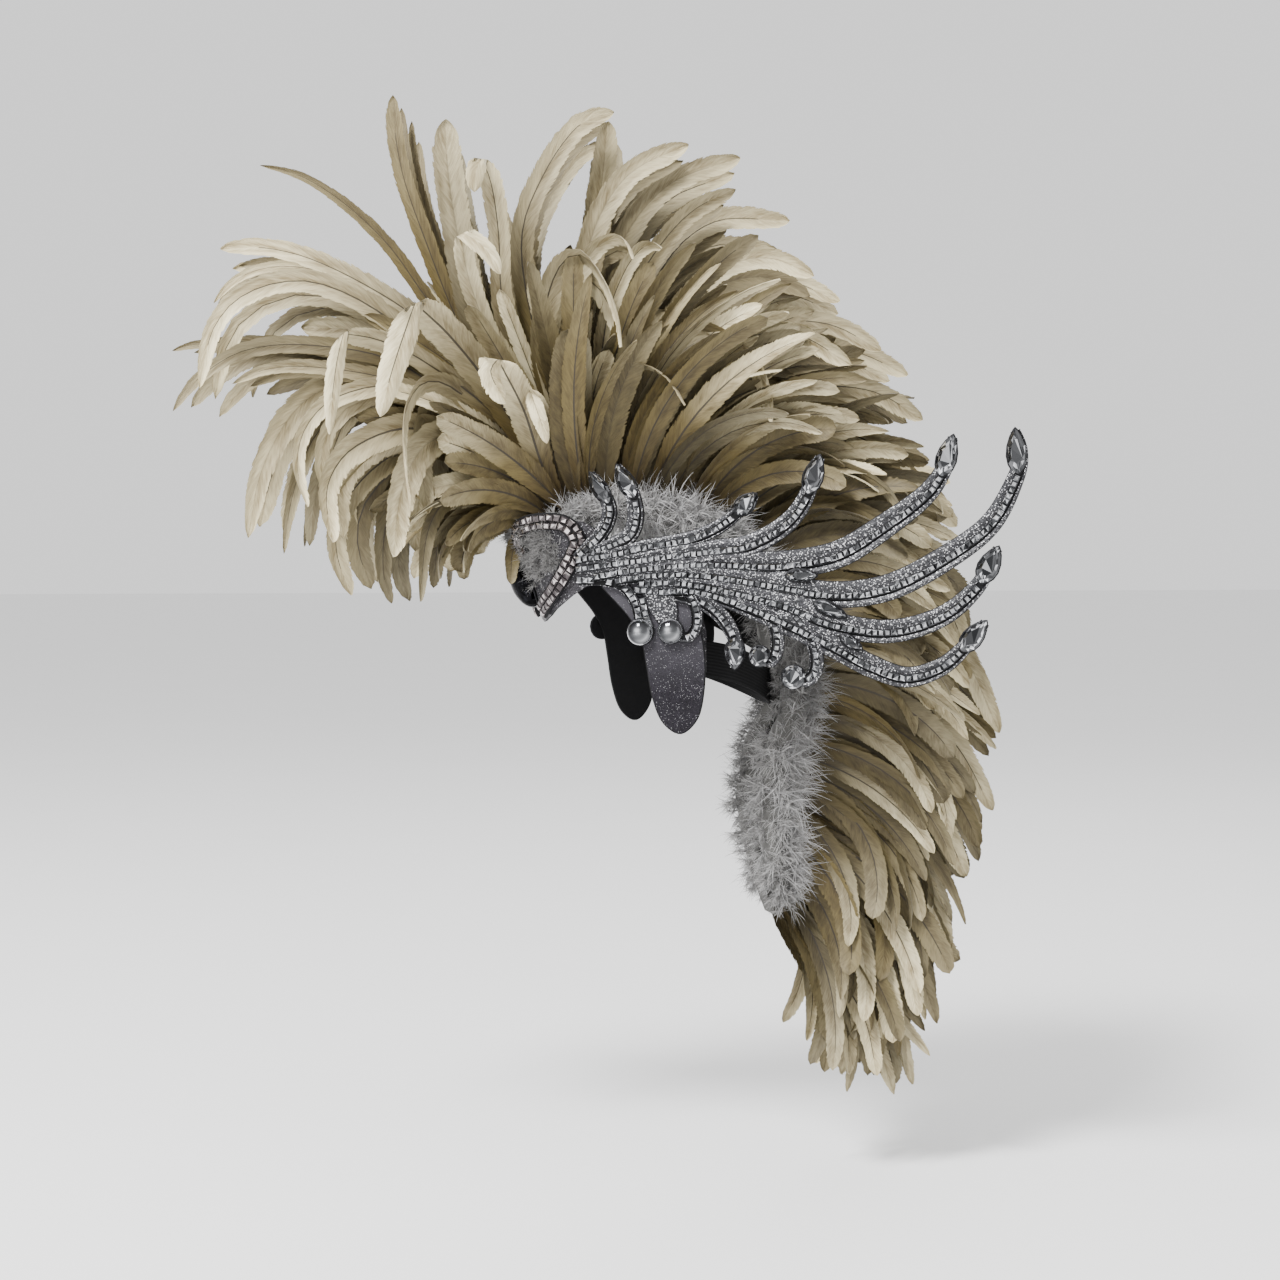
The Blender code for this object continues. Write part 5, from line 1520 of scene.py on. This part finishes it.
def centre_gem(tray):
    """The pear-shaped jet stone, point down, in its setting."""
    rng = np.random.default_rng(53)
    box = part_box("centre_stone")
    spot = wall_point(0.0, CENTRE_STONE_UP, BAND_WALL + GAP)
    normal = wall_normal(0.0, CENTRE_STONE_UP)
    across = Vector((1.0, 0.0, 0.0))
    up = normal.cross(across).normalized()
    if up.z < 0:
        up, across = -up, -across
    turn = Matrix((up, normal.cross(up), normal)).transposed().to_4x4()
    placed = Matrix.Translation(spot) @ turn
    width = box[1][0] - box[0][0]
    points, faces = tray.shaped("dome", CENTRE_STONE_HEIGHT, width, CENTRE_STONE_DEPTH)
    share = points[:, 0] / (CENTRE_STONE_HEIGHT / 2)
    points[:, 1] *= 1.0 - 0.45 * np.maximum(0.0, -share)
    cup = points * np.array((1.08, 1.10, 0.2))
    pile = Pile()
    add_stone(pile, (cup, faces), placed, rng, False, 1)
    add_stone(pile, (points, faces), placed @ Matrix.Translation((0, 0, 0.0008)), rng, False, 0)
    gem_piece(pile, "jet_gem", ("jet", "setting"), "jet_stone", "centre_stone")


def cheek_flap(side, sign):
    """The rounded tongue of glitter foam in front of the ear."""
    matrix = wing_matrix(sign) @ Matrix.Translation((0, 0, -(FLAP_WALL + GAP)))
    outline = [Vector((FLAP_MIDDLE + u * FLAP_WIDTH, v * FLAP_DROP, 0.0)) for u, v in FLAP_OUTLINE]
    line = spaced([*outline, outline[0]], FLAP_CORNERS + 1)[:-1]
    deselect()
    bpy.ops.mesh.primitive_circle_add(vertices=FLAP_CORNERS, radius=1.0, fill_type="NGON")
    flap = bpy.context.object
    flap.name = f"glitter_flap_{side}"
    for vertex, point in zip(flap.data.vertices, line):
        vertex.co = point
    bpy.ops.object.mode_set(mode="EDIT")
    bpy.ops.mesh.select_all(action="SELECT")
    bpy.ops.mesh.normals_make_consistent(inside=False)
    if flap.data.polygons[0].normal.z < 0:
        bpy.ops.mesh.flip_normals()
    bpy.ops.mesh.extrude_region_move(TRANSFORM_OT_translate={"value": (0.0, 0.0, FLAP_WALL - 0.0008)})
    bpy.ops.mesh.inset(thickness=0.0009, depth=0.0008)
    bpy.ops.mesh.inset(thickness=0.0030, depth=0.0)
    bpy.ops.mesh.select_all(action="SELECT")
    bpy.ops.mesh.normals_make_consistent(inside=False)
    bpy.ops.object.mode_set(mode="OBJECT")
    for finish in ("flap_glitter", "black_foam"):
        flap.data.materials.append(finish_named(finish))
    for face in flap.data.polygons:
        face.material_index = 0 if face.normal.z > 0.9 else 1
    flap.data.transform(matrix)
    if sign < 0:
        flap.data.flip_normals()
    settle(flap, "glitter_foam", f"cheek_flap_{side}")


def strap():
    """The elastic round the back of the head, with its rolled edges."""
    start = BAND_END_ANGLE - STRAP_LAP_ANGLE
    inside = -(STRAP_WALL + GAP)
    run = 360 - 2 * start
    deselect()
    bpy.ops.mesh.primitive_grid_add(x_subdivisions=STRAP_FACES[0], y_subdivisions=STRAP_FACES[1], size=1.0)
    elastic = bpy.context.object
    elastic.name = "elastic_strap"
    mesh = elastic.data
    weave = mesh.uv_layers.active
    weave.name = "weave"
    for loop in mesh.loops:
        flat = mesh.vertices[loop.vertex_index].co
        weave.data[loop.index].uv = ((flat.x + 0.5) * 9.0, flat.y + 0.5)
    for vertex in mesh.vertices:
        share, height = vertex.co.x + 0.5, vertex.co.y
        angle = math.radians(start + run * share)
        middle = (1 - math.cos(math.tau * share)) / 2
        lap = min(1.0, max(0.0, min(share, 1 - share) * run / STRAP_LAP_ANGLE - 1.5))
        out = inside * (1 - lap)
        vertex.co = ((HEAD_WIDTH / 2 + out) * math.sin(angle), -(HEAD_LENGTH / 2 + out) * math.cos(angle),
                     STRAP_EAR_UP + (STRAP_BACK_UP - STRAP_EAR_UP) * middle + height * STRAP_WIDTH)
    wall = elastic.modifiers.new("wall", "SOLIDIFY")
    wall.thickness = STRAP_WALL
    wall.offset = 1.0
    rolled = elastic.modifiers.new("rolled_edges", "BEVEL")
    rolled.width = STRAP_ROLL
    rolled.segments = 2
    for modifier in ("wall", "rolled_edges"):
        bpy.ops.object.modifier_apply(modifier=modifier)
    bpy.ops.object.shade_smooth_by_angle(angle=math.radians(40.0))
    mesh.materials.append(finish_named("elastic"))
    settle(elastic, "black_elastic", "head_strap")


class HEADDRESS_OT_crest(bpy.types.Operator):
    """Makes the six groups of feathers on their pads."""

    bl_idname = "headdress.crest"
    bl_label = "Crest feathers"

    def execute(self, context):
        press, fine_press = FeatherPress(*FILL_BLANK), FeatherPress(*FINE_BLANK)
        for seed, group in enumerate(FEATHER_GROUPS):
            crest_group(press, fine_press, group, seed + 1)
        return {"FINISHED"}


class HEADDRESS_OT_down(bpy.types.Operator):
    """Makes the marabou along the strip and in the front heart."""

    bl_idname = "headdress.down"
    bl_label = "Marabou"

    def execute(self, context):
        down_roll("down_left", 1, "marabou_trim_left", 21)
        down_roll("down_right", -1, "marabou_trim_right", 22)
        front_down("front_down", 23)
        return {"FINISHED"}


class HEADDRESS_OT_wings(bpy.types.Operator):
    """Makes the glitter foam wings and cheek flaps."""

    bl_idname = "headdress.wings"
    bl_label = "Wings and flaps"

    def execute(self, context):
        for side, sign in (("left", 1), ("right", -1)):
            wing_plate(side, sign)
            cheek_flap(side, sign)
        return {"FINISHED"}


class HEADDRESS_OT_stones(bpy.types.Operator):
    """Sets every stone."""

    bl_idname = "headdress.stones"
    bl_label = "Stones"

    def execute(self, context):
        tray = StoneTray()
        for side, sign in (("left", 1), ("right", -1)):
            wing_rows(tray, side, sign)
            wing_gems(tray, side, sign)
            front_scroll(tray, side, sign)
        centre_gem(tray)
        return {"FINISHED"}


class HEADDRESS_OT_strap(bpy.types.Operator):
    """Makes the elastic strap and finishes the band and the strip."""

    bl_idname = "headdress.strap"
    bl_label = "Strap and band"

    def execute(self, context):
        strap()
        for node, finish in (("crown_band", "band"), ("crest_strip", "felt")):
            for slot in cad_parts[node].material_slots:
                slot.material = finish_named(finish)
        return {"FINISHED"}


class HEADDRESS_OT_stage(bpy.types.Operator):
    """Makes the floor, the lights and the camera."""

    bl_idname = "headdress.stage"
    bl_label = "Stage"

    def execute(self, context):
        deselect()
        bpy.ops.mesh.primitive_plane_add(size=60.0, location=(0.0, 0.0, FLOOR_UP))
        floor = bpy.context.object
        floor.name = "floor"
        bench = Bench("pale_floor_finish", 0.9)
        grain = bench.noise(bench.place(), 3.0)
        floor.data.materials.append(bench.finish(bench.mix(grain, (0.86, 0.86, 0.86), (0.88, 0.88, 0.88))))
        world = bpy.data.worlds.new("studio")
        world.use_nodes = True
        world.node_tree.nodes["Background"].inputs["Color"].default_value = (1.0, 1.0, 1.0, 1.0)
        world.node_tree.nodes["Background"].inputs["Strength"].default_value = WORLD_STRENGTH
        context.scene.world = world
        for name, place, power, size in LIGHTS:
            light = bpy.data.lights.new(name, "AREA")
            light.energy = power
            light.size = size
            lamp = bpy.data.objects.new(name, light)
            lamp.location = place
            lamp.rotation_euler = (-Vector(place)).to_track_quat("-Z", "Y").to_euler()
            context.scene.collection.objects.link(lamp)
        self.camera(context)
        return {"FINISHED"}

    def camera(self, context):
        """The camera at the picture's viewing angle."""
        azimuth, height = math.radians(CAMERA_AZIMUTH), math.radians(CAMERA_HEIGHT_ANGLE)
        toward = Vector((math.sin(azimuth) * math.cos(height), -math.cos(azimuth) * math.cos(height),
                         math.sin(height)))
        right = Vector((math.cos(azimuth), math.sin(azimuth), 0.0))
        scale = PICTURE_SPAN / PICTURE_SIZE
        aim = right * (PICTURE_SIZE / 2 - ORIGIN_PIXEL[0]) * scale
        lens = bpy.data.cameras.new("camera")
        lens.sensor_width = SENSOR_WIDTH
        lens.lens = SENSOR_WIDTH * CAMERA_DISTANCE / PICTURE_SPAN
        camera = bpy.data.objects.new("camera", lens)
        camera.location = aim + toward * CAMERA_DISTANCE
        camera.rotation_euler = (-toward).to_track_quat("-Z", "Y").to_euler()
        context.scene.collection.objects.link(camera)
        context.scene.camera = camera


class HEADDRESS_PT_panel(bpy.types.Panel):
    """Lists the headdress's steps and settings."""

    bl_label = "Headdress"
    bl_idname = "HEADDRESS_PT_panel"
    bl_space_type = "VIEW_3D"
    bl_region_type = "UI"
    bl_category = "Headdress"

    def draw(self, context):
        for step in STEPS:
            self.layout.operator(step.bl_idname)
        for group in (context.scene.headdress_sizes, context.scene.headdress_colours):
            for key in group.__annotations__:
                self.layout.prop(group, key)


STEPS = (HEADDRESS_OT_stage, HEADDRESS_OT_strap, HEADDRESS_OT_wings, HEADDRESS_OT_stones, HEADDRESS_OT_down,
         HEADDRESS_OT_crest)
CLASSES = (HeaddressSizes, HeaddressColours, *STEPS, HEADDRESS_PT_panel)


def register():
    """Registers the classes and the scene's settings."""
    for cls in CLASSES:
        bpy.utils.register_class(cls)
    bpy.types.Scene.headdress_sizes = PointerProperty(type=HeaddressSizes)
    bpy.types.Scene.headdress_colours = PointerProperty(type=HeaddressColours)


def unregister():
    """Removes what register added."""
    del bpy.types.Scene.headdress_sizes
    del bpy.types.Scene.headdress_colours
    for cls in reversed(CLASSES):
        bpy.utils.unregister_class(cls)


def main():
    """Makes the stage and every piece."""
    register()
    for step in STEPS:
        group, name = step.bl_idname.split(".")
        getattr(getattr(bpy.ops, group), name)()


if __name__ == "__main__":
    main()
